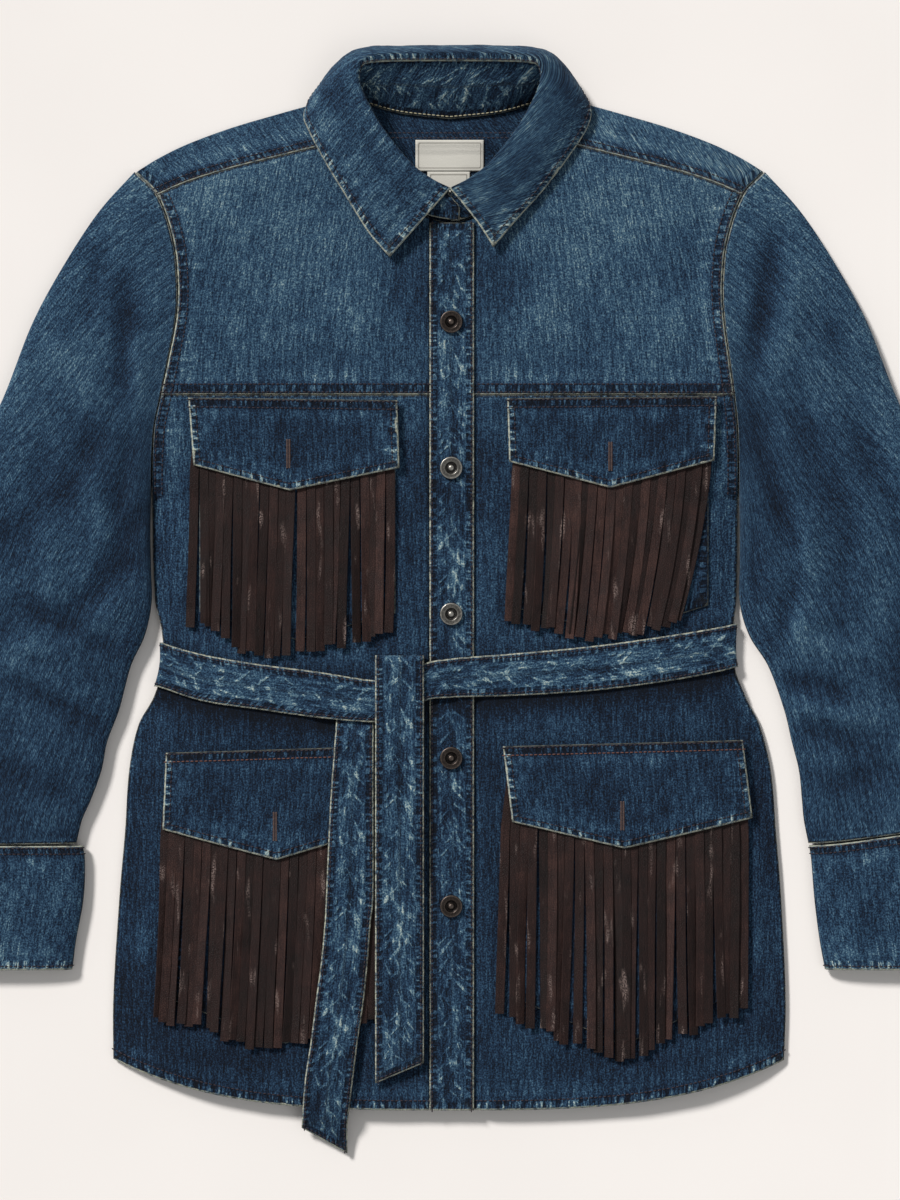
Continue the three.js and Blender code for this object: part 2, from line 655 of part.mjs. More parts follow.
// Belt end that turns over the waist stretch and hangs down the front.
function beltOver() {
  const legHigh = 2 * (DOUBLE + REST);
  const stations = [];
  for (const y of [-97, -80, -62, -47]) stations.push({ y, leg: 'low' });
  for (let n = 1; n <= 5; n += 1) stations.push({ turn: (Math.PI * n) / 6 });
  for (const y of [-47, -62, -80, -96, -108, -130, -155, -180, -200, -214, -235, -262, -290, -318, -338]) {
    stations.push({ y, leg: 'high' });
  }
  stations.push({ y: -354, leg: 'end' });
  const at = (i, j) => {
    const st = stations[j];
    const x = mix(LEG.left, LEG.right, i / 2);
    if (st.turn !== undefined) {
      const y0 = -44.9;
      const mid = frontTop(x, y0) + REST + DOUBLE + (legHigh - DOUBLE) / 2;
      const s = Math.sin(st.turn);
      const c = -Math.cos(st.turn);
      const inner = (legHigh - DOUBLE) / 2;
      return [
        [x, y0 + (inner + DOUBLE) * s, mid + (inner + DOUBLE) * c],
        [x, y0 + inner * s, mid + inner * c],
      ];
    }
    if (st.leg === 'low') {
      const z = frontTop(x, st.y) + REST;
      return [[x, st.y, z], [x, st.y, z + DOUBLE]];
    }
    const y = st.leg === 'end' ? mix(-362, -346.5, i / 2) : st.y;
    const z = frontTop(x, y) + endLift(y);
    return [[x, y, z + DOUBLE], [x, y, z]];
  };
  return slab(2, stations.length - 1, at);
}
// Air between the body's front and the hanging belt ends: over the flap, then the fringe.
const ENDS = [
  { y: -440, rise: -9.0 },
  { y: -416, rise: -8.2 },
  { y: -398, rise: -4.6 },
  { y: -388, rise: -0.6 },
  { y: -382, rise: 0.9 },
  { y: -366, rise: 3.0 },
  { y: -346, rise: 4.4 },
  { y: -300, rise: 4.5 },
  { y: -214, rise: 4.6 },
  { y: -199, rise: 6.3 },
  { y: -150, rise: 6.4 },
  { y: -106, rise: 6.4 },
  { y: -96, rise: 5.6 },
  { y: -40, rise: 5.5 },
];
const endLift = (y) => read(ENDS, 'y', y, 'rise');
add('belt_end_over', beltOver(), denim);

// Belt end that starts under the waist stretch and hangs past the hem.
const UNDER = [
  { y: -396, left: -111.5, right: -77.2 },
  { y: -360, left: -108.75, right: -72.75 },
  { y: -330, left: -104.25, right: -69 },
  { y: -300, left: -100.5, right: -64.5 },
  { y: -270, left: -96.5, right: -61.5 },
  { y: -240, left: -93.75, right: -59.2 },
  { y: -225, left: -93, right: -57.4 },
  { y: -150, left: -89.5, right: -57.2 },
  { y: -91.5, left: -85.5, right: -57.2 },
  { y: -66, left: -86, right: -57.2 },
];
function beltUnder() {
  const ys = [-68, -82, -93, -99, -106, -120, -145, -172, -199, -214, -240, -268, -296, -322, -346, -366,
    -376, -384, -390];
  const rows = ys.length + 1;
  const at = (i, j) => {
    const u = i / 2;
    if (j >= ys.length) {
      const last = j === ys.length;
      const y = mix(last ? -393 : -396.5, last ? -404 : -416.4, u);
      const x = mix(-111.8, last ? -78.5 : -80, u);
      const z = frontTop(x, -383) + endLift(y);
      return [[x, y, z + DOUBLE], [x, y, z]];
    }
    const y = ys[j];
    const x = mix(read(UNDER, 'y', y, 'left'), read(UNDER, 'y', y, 'right'), u);
    const rise = y > -94 ? REST : mix(REST, endLift(y), ease((-92 - y) / 15));
    const z = frontTop(x, Math.max(y, -383)) + rise;
    return [[x, y, z + DOUBLE], [x, y, z]];
  };
  return slab(2, rows, at);
}
add('belt_end_under', beltUnder(), denim);

// Collar. Each row is a section from the neck seam (n) to the roll (r), where the leaf
// turns over through (m) to its edge (e).
const COLLAR = [
  { s: 0, nx: 0.6, ny: 286.2, nz: 13.4, rx: 1.3, ry: 307, rz: 19.5, mx: 22, my: 282, mz: 20, ez: 16.4 },
  { s: 1, nx: 16, ny: 290, nz: 13, rx: 14.4, ry: 313.5, rz: 21.5, mx: 38, my: 293, mz: 22, ez: 15.8 },
  { s: 2, nx: 31, ny: 299, nz: 12.8, rx: 28, ry: 323, rz: 23, mx: 50, my: 306, mz: 24, ez: 15.4 },
  { s: 3, nx: 44, ny: 310.5, nz: 12.6, rx: 40.5, ry: 337, rz: 24.5, mx: 62, my: 324, mz: 25.5, ez: 15 },
  { s: 4, nx: 57.5, ny: 326, nz: 12, rx: 54, ry: 355, rz: 26, mx: 76, my: 345, mz: 26.5, ez: 14.2 },
  { s: 5, nx: 70, ny: 343, nz: 10.6, rx: 64, ry: 373, rz: 27, mx: 88, my: 366, mz: 26, ez: 12 },
  { s: 6, nx: 72.6, ny: 356, nz: 8.4, rx: 69.5, ry: 386, rz: 28, mx: 95, my: 382, mz: 24, ez: 9 },
  { s: 7, nx: 72.6, ny: 367, nz: 5.6, rx: 70, ry: 395, rz: 28.4, mx: 91, my: 396, mz: 21, ez: 5 },
  { s: 8, nx: 71, ny: 376.5, nz: 2.8, rx: 66.5, ry: 402, rz: 28.8, mx: 82, my: 410, mz: 19, ez: 3.6 },
  { s: 9, nx: 60, ny: 373, nz: 2.4, rx: 58, ry: 405, rz: 29, mx: 65, my: 418, mz: 18, ez: 3.5 },
  { s: 10, nx: 36, ny: 366.6, nz: 2.4, rx: 37, ry: 406.5, rz: 29.2, mx: 39, my: 419, mz: 18, ez: 3.5 },
  { s: 11, nx: 0, ny: 362.6, nz: 2.4, rx: 0, ry: 407, rz: 29.4, mx: 0, my: 419, mz: 18, ez: 3.5 },
];
// Edge of the leaf, which differs a little from side to side.
const LEAF = [
  { s: 0, lx: 44.7, ly: 256.5, rx: 31.5, ry: 263.7 },
  { s: 1, lx: 58.8, ly: 273, rx: 53, ry: 289.7 },
  { s: 2, lx: 69, ly: 289, rx: 66, ry: 304.5 },
  { s: 3, lx: 79, ly: 306, rx: 76, ry: 317 },
  { s: 4, lx: 91.5, ly: 327, rx: 87, ry: 332 },
  { s: 5, lx: 104.7, ly: 352.5, rx: 100, ry: 352 },
  { s: 6, lx: 107.5, ly: 364, rx: 103.5, ry: 366 },
  { s: 7, lx: 101, ly: 378, rx: 98, ry: 379 },
  { s: 8, lx: 84, ly: 396, rx: 82, ry: 396 },
  { s: 9, lx: 66, ly: 402, rx: 66, ry: 402 },
  { s: 10, lx: 40, ly: 403, rx: 40, ry: 403 },
  { s: 11, lx: 0, ly: 403, rx: 0, ry: 403 },
];
function collarRow(side, s, name) {
  const v = read(COLLAR, 's', s, name);
  return name[1] === 'x' ? side * v : v;
}
// Middle surface of the stand (v from the neck seam to the roll).
function standPoint(side, s, v) {
  const n = ['nx', 'ny', 'nz'].map((c) => collarRow(side, s, c));
  const r = ['rx', 'ry', 'rz'].map((c) => collarRow(side, s, c));
  const p = n.map((c, i) => mix(c, r[i], v));
  p[2] += 2.2 * Math.sin(Math.PI * v) * ease(s / 5);
  return p;
}
// Middle surface of the leaf (v from the roll to the edge).
function leafPoint(side, s, v) {
  const r = ['rx', 'ry', 'rz'].map((c) => collarRow(side, s, c));
  const m = ['mx', 'my', 'mz'].map((c) => collarRow(side, s, c));
  const ex = side * read(LEAF, 's', s, side < 0 ? 'lx' : 'rx');
  const ey = read(LEAF, 's', s, side < 0 ? 'ly' : 'ry');
  const e = [ex, ey, collarRow(side, s, 'ez')];
  return r.map((c, i) => (1 - v) * (1 - v) * c + 2 * v * (1 - v) * m[i] + v * v * e[i]);
}
// Gives a surface of the collar its thickness along its own normal.
function thicken(point, s, v, low, high, flip) {
  const h = 0.02;
  const a = point(s - h, v);
  const b = point(s + h, v);
  const c = point(s, v - h);
  const d = point(s, v + h);
  const u = b.map((q, i) => q - a[i]);
  const w = d.map((q, i) => q - c[i]);
  const n = [u[1] * w[2] - u[2] * w[1], u[2] * w[0] - u[0] * w[2], u[0] * w[1] - u[1] * w[0]];
  const l = Math.hypot(n[0], n[1], n[2]) * (flip ? -1 : 1);
  const p = point(s, v);
  return [high, low].map((t) => p.map((q, i) => q + (n[i] / l) * t));
}
// Runs round the collar: 0 at the wearer's right front, 22 at the left front.
function roundCollar(point) {
  return (s, v) => {
    const turn = clamp(s, 0, 22);
    return turn <= 11 ? point(-1, turn, v) : point(1, 22 - turn, v);
  };
}
const STAND = 1.6;
function collarStand() {
  const cols = 26;
  const rows = 3;
  const point = roundCollar(standPoint);
  const at = (i, j) => {
    const s = mix(0.02, 21.98, i / cols);
    const v = mix(0.0, 0.97, j / rows);
    const [a, b] = thicken(point, s, v, -STAND / 2, STAND / 2, false);
    return [a, b];
  };
  return slab(cols, rows, at);
}
function collarLeaf() {
  const cols = 28;
  const rows = 5;
  const point = roundCollar(leafPoint);
  const at = (i, j) => {
    const s = mix(0.02, 21.98, i / cols);
    const v = mix(0.0, 1, j / rows);
    const [a, b] = thicken(point, s, v, 0.9, 0.9 + DOUBLE, false);
    return [a, b];
  };
  return slab(cols, rows, at);
}
add('collar_stand', collarStand(), denim);
add('collar_leaf', collarLeaf(), denim);

// Tack buttons, turned from a profile of radius and height.
function button(x, y) {
  const base = placketTop(x, y) + 0.3;
  const profile = [
    [7.2, 0], [8.3, 0.7], [BUTTON_RADIUS, 1.7], [7.6, 2.6], [5.6, 2.9], [4.4, 2.0], [2.6, 2.2],
  ];
  const seg = 14;
  const points = [[x, y, base]];
  for (const [r, h] of profile) {
    for (let i = 0; i < seg; i += 1) {
      const a = (2 * Math.PI * i) / seg;
      points.push([x + r * Math.cos(a), y + r * Math.sin(a), base + h]);
    }
  }
  points.push([x, y, base + 3.2]);
  const faces = [];
  const last = points.length - 1;
  for (let i = 0; i < seg; i += 1) {
    const n = (i + 1) % seg;
    faces.push([0, 1 + n, 1 + i]);
    for (let k = 0; k < profile.length - 1; k += 1) {
      const a = 1 + k * seg;
      const b = a + seg;
      faces.push([a + i, a + n, b + n], [a + i, b + n, b + i]);
    }
    const c = 1 + (profile.length - 1) * seg;
    faces.push([c + i, c + n, last]);
  }
  return close(points, faces);
}
BUTTON_YS.forEach((y, i) => add('button_' + (i + 1), button(0.9, y), brass));

// Neck label and the small tab under it, sewn flat to the inside of the back yoke.
function plate(x0, x1, y0, y1, low, thick) {
  const at = (i, j) => {
    const x = i ? x1 : x0;
    const y = j ? y1 : y0;
    return [[x, y, low + thick], [x, y, low]];
  };
  return slab(1, 1, at);
}
add('label_main', plate(-26, 25.5, 323, 346.5, CLOTH + 0.35, 1.0), label);
add('label_size', plate(-17, 15, 300, 322.6, CLOTH + 0.35, 1.0), label);

export default group;
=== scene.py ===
# %% [markdown]
# # A denim overshirt with leather fringe, laid flat
#
# The garment is a long denim shirt jacket: yokes, fronts, a back, two sleeves with cuffs, a collar,
# four flap pockets with leather fringe, and a belt of its own cloth, knotted. Cloth that lies flat
# could be made by simulation, but then its seams and pockets land where they like. Here each panel
# is a thin closed shell worked out from the garment's own sizes, with its creases placed one by one,
# so every layer rests a known height above the one below it.

# %% Load the frame
import math
import bpy
import numpy as np
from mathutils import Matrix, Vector


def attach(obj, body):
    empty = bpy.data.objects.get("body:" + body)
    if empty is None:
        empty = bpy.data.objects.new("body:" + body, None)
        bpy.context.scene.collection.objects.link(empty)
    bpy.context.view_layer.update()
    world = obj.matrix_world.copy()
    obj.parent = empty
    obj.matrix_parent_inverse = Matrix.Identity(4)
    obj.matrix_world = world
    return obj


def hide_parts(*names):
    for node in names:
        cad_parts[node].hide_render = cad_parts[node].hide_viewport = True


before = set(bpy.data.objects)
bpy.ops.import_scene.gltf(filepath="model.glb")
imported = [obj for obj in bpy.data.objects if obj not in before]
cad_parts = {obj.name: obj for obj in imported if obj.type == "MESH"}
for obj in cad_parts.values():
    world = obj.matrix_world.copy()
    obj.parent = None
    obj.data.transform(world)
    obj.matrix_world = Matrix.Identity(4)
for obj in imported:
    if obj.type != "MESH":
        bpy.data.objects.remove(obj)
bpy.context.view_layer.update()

MM = 0.001
scene = bpy.context.scene

# %% [markdown]
# ## Camera, floor and light
#
# The garment is seen from straight above, and its ends of sleeve run out of the frame. A long lens
# far away keeps the flat lay flat. The floor is plain and pale. A studio would use a large soft box a
# long way off at the upper left; a wide sun lamp gives the same light and keeps the floor even to its
# corners. It gives the folds their light and dark sides, and a dim even sky fills the rest.

# %% Camera, floor and lamps
lens = bpy.data.cameras.new("camera")
lens.lens = 100
lens.sensor_width = 36
camera = bpy.data.objects.new("camera", lens)
camera.location = (0.0, 0.0, 2.513)
scene.collection.objects.link(camera)
scene.camera = camera
scene.view_settings.view_transform = "Standard"

bpy.ops.mesh.primitive_plane_add(size=8, location=(0, 0, -0.0004))
floor = bpy.context.object
floor.name = "floor"

def lamp(name, place, aim, size, power, colour=(1, 1, 1), kind="AREA"):
    data = bpy.data.lights.new(name, kind)
    if kind == "AREA":
        data.size = size
    else:
        data.angle = size
    data.energy = power
    data.color = colour
    item = bpy.data.objects.new(name, data)
    item.location = place
    item.rotation_euler = (Vector(aim) - Vector(place)).to_track_quat("-Z", "Y").to_euler()
    scene.collection.objects.link(item)

lamp("key", (-3.6, 4.1, 4.1), (0, 0, 0), 0.2, 3.7, (1.0, 0.985, 0.965), "SUN")
lamp("fill", (3.2, -2.4, 5.2), (0, 0, 0), 4.0, 40, (0.95, 0.98, 1.0))
sky = bpy.data.worlds.new("sky")
sky.use_nodes = True
sky.node_tree.nodes["Background"].inputs["Color"].default_value = (0.97, 0.985, 1.0, 1)
sky.node_tree.nodes["Background"].inputs["Strength"].default_value = 0.31
scene.world = sky

# %% [markdown]
# ## Small tools for tables and shapes
#
# The garment's outline is kept in short tables: one row for each height, with named columns. A
# smooth curve through the rows gives every height in between.

# %% Tables, mixing and easing
def table(names, rows):
    columns = np.array(rows, float).T
    return dict(zip(names.split(), columns))

def along(tab, key, at, name):
    xs, ys = tab[key], tab[name]
    at = np.asarray(at, float)
    i = np.clip(np.searchsorted(xs, at, "left") - 1, 0, len(xs) - 2)
    a = np.maximum(i - 1, 0)
    d = np.minimum(i + 2, len(xs) - 1)
    span = xs[i + 1] - xs[i]
    t = np.clip((at - xs[i]) / span, 0, 1)
    mb = (ys[i + 1] - ys[a]) / (xs[i + 1] - xs[a]) * span
    mc = (ys[d] - ys[i]) / (xs[d] - xs[i]) * span
    t2, t3 = t * t, t * t * t
    return ((2 * t3 - 3 * t2 + 1) * ys[i] + (t3 - 2 * t2 + t) * mb
            + (3 * t2 - 2 * t3) * ys[i + 1] + (t3 - t2) * mc)

def mix(a, b, t):
    return a + (b - a) * t

def ease(t):
    t = np.clip(t, 0, 1)
    return t * t * (3 - 2 * t)

def swell(t):
    return 1 - (1 - np.clip(t, 0, 1)) ** 2.2

def ripple(x, seed=0):
    """A smooth, uneven wave of about one unit, the same each run."""
    return (np.sin(x * 1.0 + seed * 1.7) + 0.6 * np.sin(x * 2.3 + seed * 3.1 + 1.0)
            + 0.4 * np.sin(x * 4.1 - seed * 2.3 + 2.0)) / 2.0

# %% [markdown]
# ## The garment's sizes
#
# Everything is in millimetres, with +Y to the collar and +X to the wearer's left. EDGE is the body's
# half width at each height: armholes above the armpit, side seams below it. SHOULDER is where the
# cloth folds over the shoulder, and where the back yoke is sewn to the front. BELT is where the
# belt's two edges lie.

# %% Sizes of the garment
CLOTH, DOUBLE, PATCH, FLAP, LEATHER = 1.2, 2.0, 1.2, 1.6, 1.2
SEAM, REST = 0.35, 0.5
CHEST_SEAM, BACK_SEAM, NECK_HALF, NECK_FRONT = 154, 200, 75, 284
PLACKET_LEFT, PLACKET_RIGHT, PLACKET_DROP, UNDERLAP = -15.4, 18.0, 1.3, 13
ARM_TOP, ARM_PIT, HEM, HEM_RISE = 322, 75, -383, 38
BODY_HIGH, EDGE_HIGH, SHOULDER_HIGH, ARM_HIGH = 13, 3.6, 3.2, 13.5
ROUND, SHOULDER_ROUND, BELT_LIFT, DIP = 78, 60, 2.4, 1.75
BUTTON_YS = (208.5, 99, -10.5, -118.5, -229.5)

EDGE = table("y left right", [
    (-345, 253.5, 251.5), (-300, 253.5, 252.7), (-225, 249, 249.3), (-172, 244.5, 245.2),
    (-128, 241.5, 241.5), (-94, 234.5, 233), (-72, 222.5, 222), (-48, 215.8, 213.5),
    (-22, 217, 213), (0, 222, 215.5), (75, 224, 216.5), (127, 222, 215.5), (152, 217, 213),
    (185, 210, 208.5), (212, 205, 205), (238, 204, 204), (270, 207.5, 207.5), (305, 220, 220),
    (322, 236.5, 236)])
SHOULDER = table("x fold seam", [
    (0, 391, 345), (75, 380.5, 345), (105, 372.8, 339), (133, 365, 332), (165, 355.5, 324),
    (198, 343.3, 314), (220, 332.5, 304.5), (237, 322, 296)])
BELT = table("x upper lower", [
    (-218, -32, -65.5), (-187, -40.5, -75.5), (-144, -48, -82), (-100, -53.6, -88), (-58, -60, -91.5),
    (-36, -60, -90), (-19.5, -47.8, -76), (0, -44, -73.2), (43, -40.5, -72), (107, -34.5, -68),
    (172, -25.5, -59.5), (216, -18, -51)])

def edge_x(side, y):
    return along(EDGE, "y", y, "left" if side < 0 else "right")

def half_width(x, y):
    return np.where(x < 0, edge_x(-1, y), edge_x(1, y))

def fold_y(x):
    return along(SHOULDER, "x", np.abs(x), "fold")

def seam_y(x):
    return along(SHOULDER, "x", np.abs(x), "seam")

def hem_y(x):
    return HEM + HEM_RISE * (np.abs(x) / 254) ** 3.2

def neck_y(x):
    return NECK_FRONT + 61 * (np.abs(x) / NECK_HALF) ** 1.8

def back_neck_y(x):
    return 363 + 17.5 * (np.abs(x) / NECK_HALF) ** 2

print("body is", round(float(edge_x(-1, -300) + edge_x(1, -300))), "mm across near the hem")

# %% [markdown]
# ## Creases
#
# Denim that has been worn and laid down keeps soft troughs and ridges: at the armpits, above and
# below the belt, down the inside of the elbow. Simulated cloth gives them anywhere; here each one is
# a row of a table with its two ends, width and depth (a negative depth is a ridge). The same table
# moves every layer above the body, so the pockets follow the front they are sewn to.

# %% Creases placed one by one
FOLDS = table("x0 y0 x1 y1 wide deep", [
    (-70, 262, -120, 205, 12, 0.7), (62, 268, 112, 212, 12, 0.7), (-210, 96, -215, 10, 7, 0.7),
    (208, 100, 208, 8, 6, 0.5), (-228, -86, -226, -150, 8, 0.9), (229, -84, 231, -160, 8, 0.9),
    (29, -84, 31, -190, 7, 0.6), (-243, 238, -246, 150, 9, 2.2), (-262, 262, -276, 210, 8, 1.2),
    (-228, 66, -263, 24, 8, 1.8), (-233, 36, -282, -8, 9, 2.0), (-250, -38, -322, -2, 10, 2.2),
    (-262, -96, -330, -58, 10, 1.8), (-340, 60, -378, -40, 13, 1.8), (-262, 130, -300, 60, 12, 1.5),
    (-282, -150, -350, -120, 10, 1.3), (-240, 0, -290, -40, 8, -1.4), (276, -140, 350, -128, 9, 1.3),
    (256, 150, 300, 60, 13, 1.6), (258, -20, 300, -8, 8, -1.4), (330, -40, 368, -110, 12, 1.6),
    (243, 272, 226, 170, 9, 2.4),
    (224, 150, 258, 40, 11, 2.2), (262, 20, 246, -34, 8, 1.6), (250, -60, 300, -70, 8, 2.2),
    (262, -96, 322, -112, 9, 1.6), (300, 140, 350, 40, 13, 1.4)])
CREASES = table("x0 y0 x1 y1 wide deep", [
    (-180, 290, -120, 276, 9, -0.5), (-196, 262, -170, 220, 8, 0.6), (-185, 232, -150, 180, 10, -0.5),
    (-95, 250, -60, 190, 9, -0.5), (-40, 262, -46, 190, 8, 0.5), (-110, 190, -60, 170, 9, 0.5),
    (180, 292, 126, 276, 9, -0.5), (198, 262, 168, 222, 8, 0.6), (176, 232, 150, 182, 10, -0.5),
    (90, 252, 58, 196, 9, -0.5), (38, 262, 44, 186, 8, 0.5), (120, 196, 64, 172, 9, 0.4),
    (-205, 140, -212, 60, 6, -0.6), (203, 142, 206, 60, 6, -0.6), (-30, 120, -28, 10, 6, 0.6),
    (33, 130, 31, 0, 6, -0.5), (-208, 4, -180, -28, 7, 0.9), (-150, -4, -144, -36, 7, -0.6),
    (-60, -6, -52, -40, 6, 0.8), (-34, 4, -30, -44, 5, -0.7), (40, 6, 44, -30, 6, 0.8),
    (120, 0, 112, -26, 7, -0.6), (198, 10, 176, -18, 8, 0.9), (-214, -72, -196, -112, 7, 0.9),
    (-160, -88, -170, -112, 7, -0.6), (-110, -96, -116, -112, 6, 0.7), (-36, -92, -34, -150, 5, 0.6),
    (60, -80, 66, -106, 6, -0.6), (112, -78, 122, -104, 7, 0.7), (170, -66, 186, -102, 7, -0.7),
    (206, -64, 222, -110, 7, 0.9), (-236, -120, -240, -230, 6, 0.7), (-226, -190, -230, -300, 5, -0.6),
    (238, -130, 241, -250, 6, 0.7), (230, -200, 233, -320, 5, -0.6), (-32, -170, -30, -300, 5, -0.5),
    (34, -200, 32, -330, 5, 0.5), (-180, -344, -120, -352, 7, 0.5), (60, -352, 150, -346, 7, 0.5),
    (-262, 150, -300, 190, 10, -0.9), (-270, 100, -256, 30, 8, -1.0), (-300, 120, -330, 20, 12, 1.1),
    (-355, 90, -372, 0, 9, -0.8), (-300, 60, -300, -20, 9, -0.9), (-330, -10, -366, -90, 12, 1.2),
    (-300, -40, -350, -30, 7, -1.0), (-280, -76, -340, -44, 6, -0.9), (-386, -20, -392, -120, 8, 0.8),
    (-350, -100, -340, -170, 9, 0.9), (-310, -110, -300, -170, 8, -0.7), (-380, -130, -372, -176, 7, -0.6),
    (-240, 120, -250, 60, 7, 1.0), (-236, 200, -232, 150, 6, -0.9), (-320, 180, -345, 120, 9, -0.6),
    (262, 250, 250, 180, 8, -1.0), (240, 120, 276, 20, 8, -1.1), (280, 210, 310, 150, 10, 0.9),
    (300, 60, 290, -30, 11, 1.0), (270, 60, 262, -20, 7, -0.9), (330, 120, 352, 50, 9, -0.8),
    (262, -30, 320, -44, 7, -1.1), (262, -82, 312, -92, 6, -1.0), (340, 20, 356, -80, 12, 1.1),
    (372, 40, 384, -60, 9, -0.7), (300, -110, 320, -170, 8, 0.9), (346, -100, 352, -170, 8, -0.7),
    (384, -80, 388, -160, 7, 0.7), (276, -130, 280, -176, 6, -0.6), (228, 60, 232, 0, 6, 1.0)])

def soft_lines(tab, x, y):
    total = np.zeros(np.broadcast(x, y).shape)
    for x0, y0, x1, y1, wide, deep in zip(*tab.values()):
        dx, dy = x1 - x0, y1 - y0
        long = math.hypot(dx, dy)
        s = ((x - x0) * dx + (y - y0) * dy) / long
        off = ((x - x0) * dy - (y - y0) * dx) / long
        ends = ease((s + 0.25 * long) / (0.5 * long)) * ease((1.25 * long - s) / (0.5 * long))
        total = total + deep * ends * np.exp(-(off / wide) ** 2)
    return total

def slack(x, y):
    """Unevenness of cloth that lies loose, up to about half a millimetre."""
    return (0.26 * ripple(x / 17 + y / 41, 1) + 0.24 * ripple(y / 23 - x / 57, 2)
            + 0.16 * ripple((x + y) / 11, 3))

def lift(y):
    return BELT_LIFT * ease((y + 79) / 9) * ease((-5 - y) / 9)

def arm_rise(y):
    c = (ARM_TOP - y) / (ARM_TOP - ARM_PIT)
    inside = (c > 0) & (c < 1)
    body = 1 - np.abs(2 * np.clip(c, 0, 1) - 1) ** 2.6
    return np.where(inside, ARM_HIGH * np.maximum(body, 0) ** (1 / 2.6), 0)

def body_top(x, y):
    """Height of the outer face of the body's front."""
    inside = half_width(x, y) - np.abs(x)
    edge = np.maximum(EDGE_HIGH + lift(y), arm_rise(y))
    cinched = 0.8 * np.exp(-(((y + 52) / 46) ** 2))
    middle = BODY_HIGH - cinched - 1.6 * ease((-290 - y) / 95)
    across = mix(edge, middle, swell(inside / ROUND))
    down = swell((fold_y(x) - y) / SHOULDER_ROUND)
    folds = soft_lines(FOLDS, x, y) * np.minimum(1, inside / 12 + 0.4)
    calm = ease(inside / 30) * ease((fold_y(x) - y) / 30)
    small = (slack(x, y) - 1.4 * soft_lines(CREASES, x, y)) * (0.25 + 0.75 * calm)
    return mix(SHOULDER_HIGH, across, down) - folds + small

def dip(x):
    return DIP * ease((25 - x) / 6.5)

print("front stands", round(float(body_top(np.array(0.0), np.array(200.0))), 2), "mm over the floor")

# %% [markdown]
# ## How faded the cloth is
#
# Indigo washes out where the cloth rubs: shoulders and chest go pale, the sides, the hem and the cloth
# under the belt stay dark. A few soft spots with a tone from 0 (dark) to 1 (worn white) are blended over
# the garment. Painted shade is laid over that: a painted shadow under the belt, painted shade in the
# gathered cloth above it, and the troughs of folds painted darker than the ridges.

# %% Fade of the cloth
FADE = table("x y reach tone", [
    (-150, 330, 60, 0.58), (150, 330, 60, 0.6), (-120, 235, 66, 0.57), (125, 235, 66, 0.58),
    (-200, 250, 32, 0.44), (200, 250, 32, 0.45), (-120, 172, 40, 0.47), (120, 172, 40, 0.48),
    (-30, 240, 22, 0.42), (34, 240, 22, 0.42), (-212, 60, 32, 0.44), (210, 60, 32, 0.43),
    (-30, 60, 30, 0.37), (36, 60, 30, 0.35), (-30, 0, 30, 0.38), (36, 0, 30, 0.38),
    (-120, -20, 40, 0.45), (120, -15, 40, 0.46), (-190, -20, 30, 0.42), (190, 0, 30, 0.43),
    (-120, -120, 40, 0.32), (120, -110, 40, 0.34), (-236, -200, 40, 0.31), (238, -200, 40, 0.35),
    (-30, -200, 40, 0.31), (30, -220, 40, 0.33), (-200, -350, 50, 0.23), (200, -350, 50, 0.31),
    (0, -360, 60, 0.34), (-290, 200, 60, 0.5), (290, 200, 60, 0.52), (-330, 60, 60, 0.48),
    (330, 60, 60, 0.5), (-245, 80, 34, 0.4), (240, 80, 34, 0.4), (-350, -60, 50, 0.44),
    (350, -60, 50, 0.47), (-320, -150, 50, 0.42), (330, -150, 50, 0.45)])

def fade(x, y):
    top = np.zeros(np.shape(x))
    low = np.full(np.shape(x), 1e-9)
    for fx, fy, reach, tone in zip(*FADE.values()):
        w = np.exp(-((x - fx) ** 2 + (y - fy) ** 2) / reach ** 2)
        top = top + w * tone
        low = low + w
    return top / low

def belt_fade_and_shadow(x, y):
    """Cloth close under the belt never saw the sun and also carries a painted shadow of the belt; just above
    the belt it is gathered and gets painted shade.
    """
    under = along(BELT, "x", x, "lower") - y
    over = y - along(BELT, "x", x, "upper")
    below = 1.3 * np.exp(-(np.maximum(under, 0) / 13) ** 2) * (under > -20)
    return below + 0.4 * np.exp(-(np.maximum(over, 0) / 8) ** 2) * (over > -20)

print("fade over the chest", round(float(fade(np.array([-120.0]), np.array([235.0]))[0]), 2))

# %% [markdown]
# ## A cloth shell
#
# A panel is worked out as a grid of points on its outer face and the same grid on its inner face.
# Two faces and a rim between them close it, so it has real thickness. Each point also keeps how
# far it is from the nearest sewn edge and how far along that edge it lies: the finish uses both
# for the puckers beside the stitching, which no even pattern could follow. The outer grid is kept
# too, because the rows of stitches are measured on it later.

# %% Build a closed shell from two grids
pieces, cuts, grids = {}, {}, {}
FAR_FROM_SEAM = 40.0
# BARE_SHADED is the low worn-rim value of bare edges; where an edge's rim value is this low, the denim paints a
# narrow shadow along it
NARROW, BARE_SHADED, WORN_HEM = 0.2, 0.2, 1.3

def add_piece(name, mesh):
    piece = bpy.data.objects.new(name, mesh)
    scene.collection.objects.link(piece)
    pieces[name] = piece
    return piece

def store(mesh, label, values):
    """Keeps one number for each point of a mesh."""
    layer = mesh.attributes.new(label, "FLOAT", "POINT")
    layer.data.foreach_set("value", values.astype(np.float32))

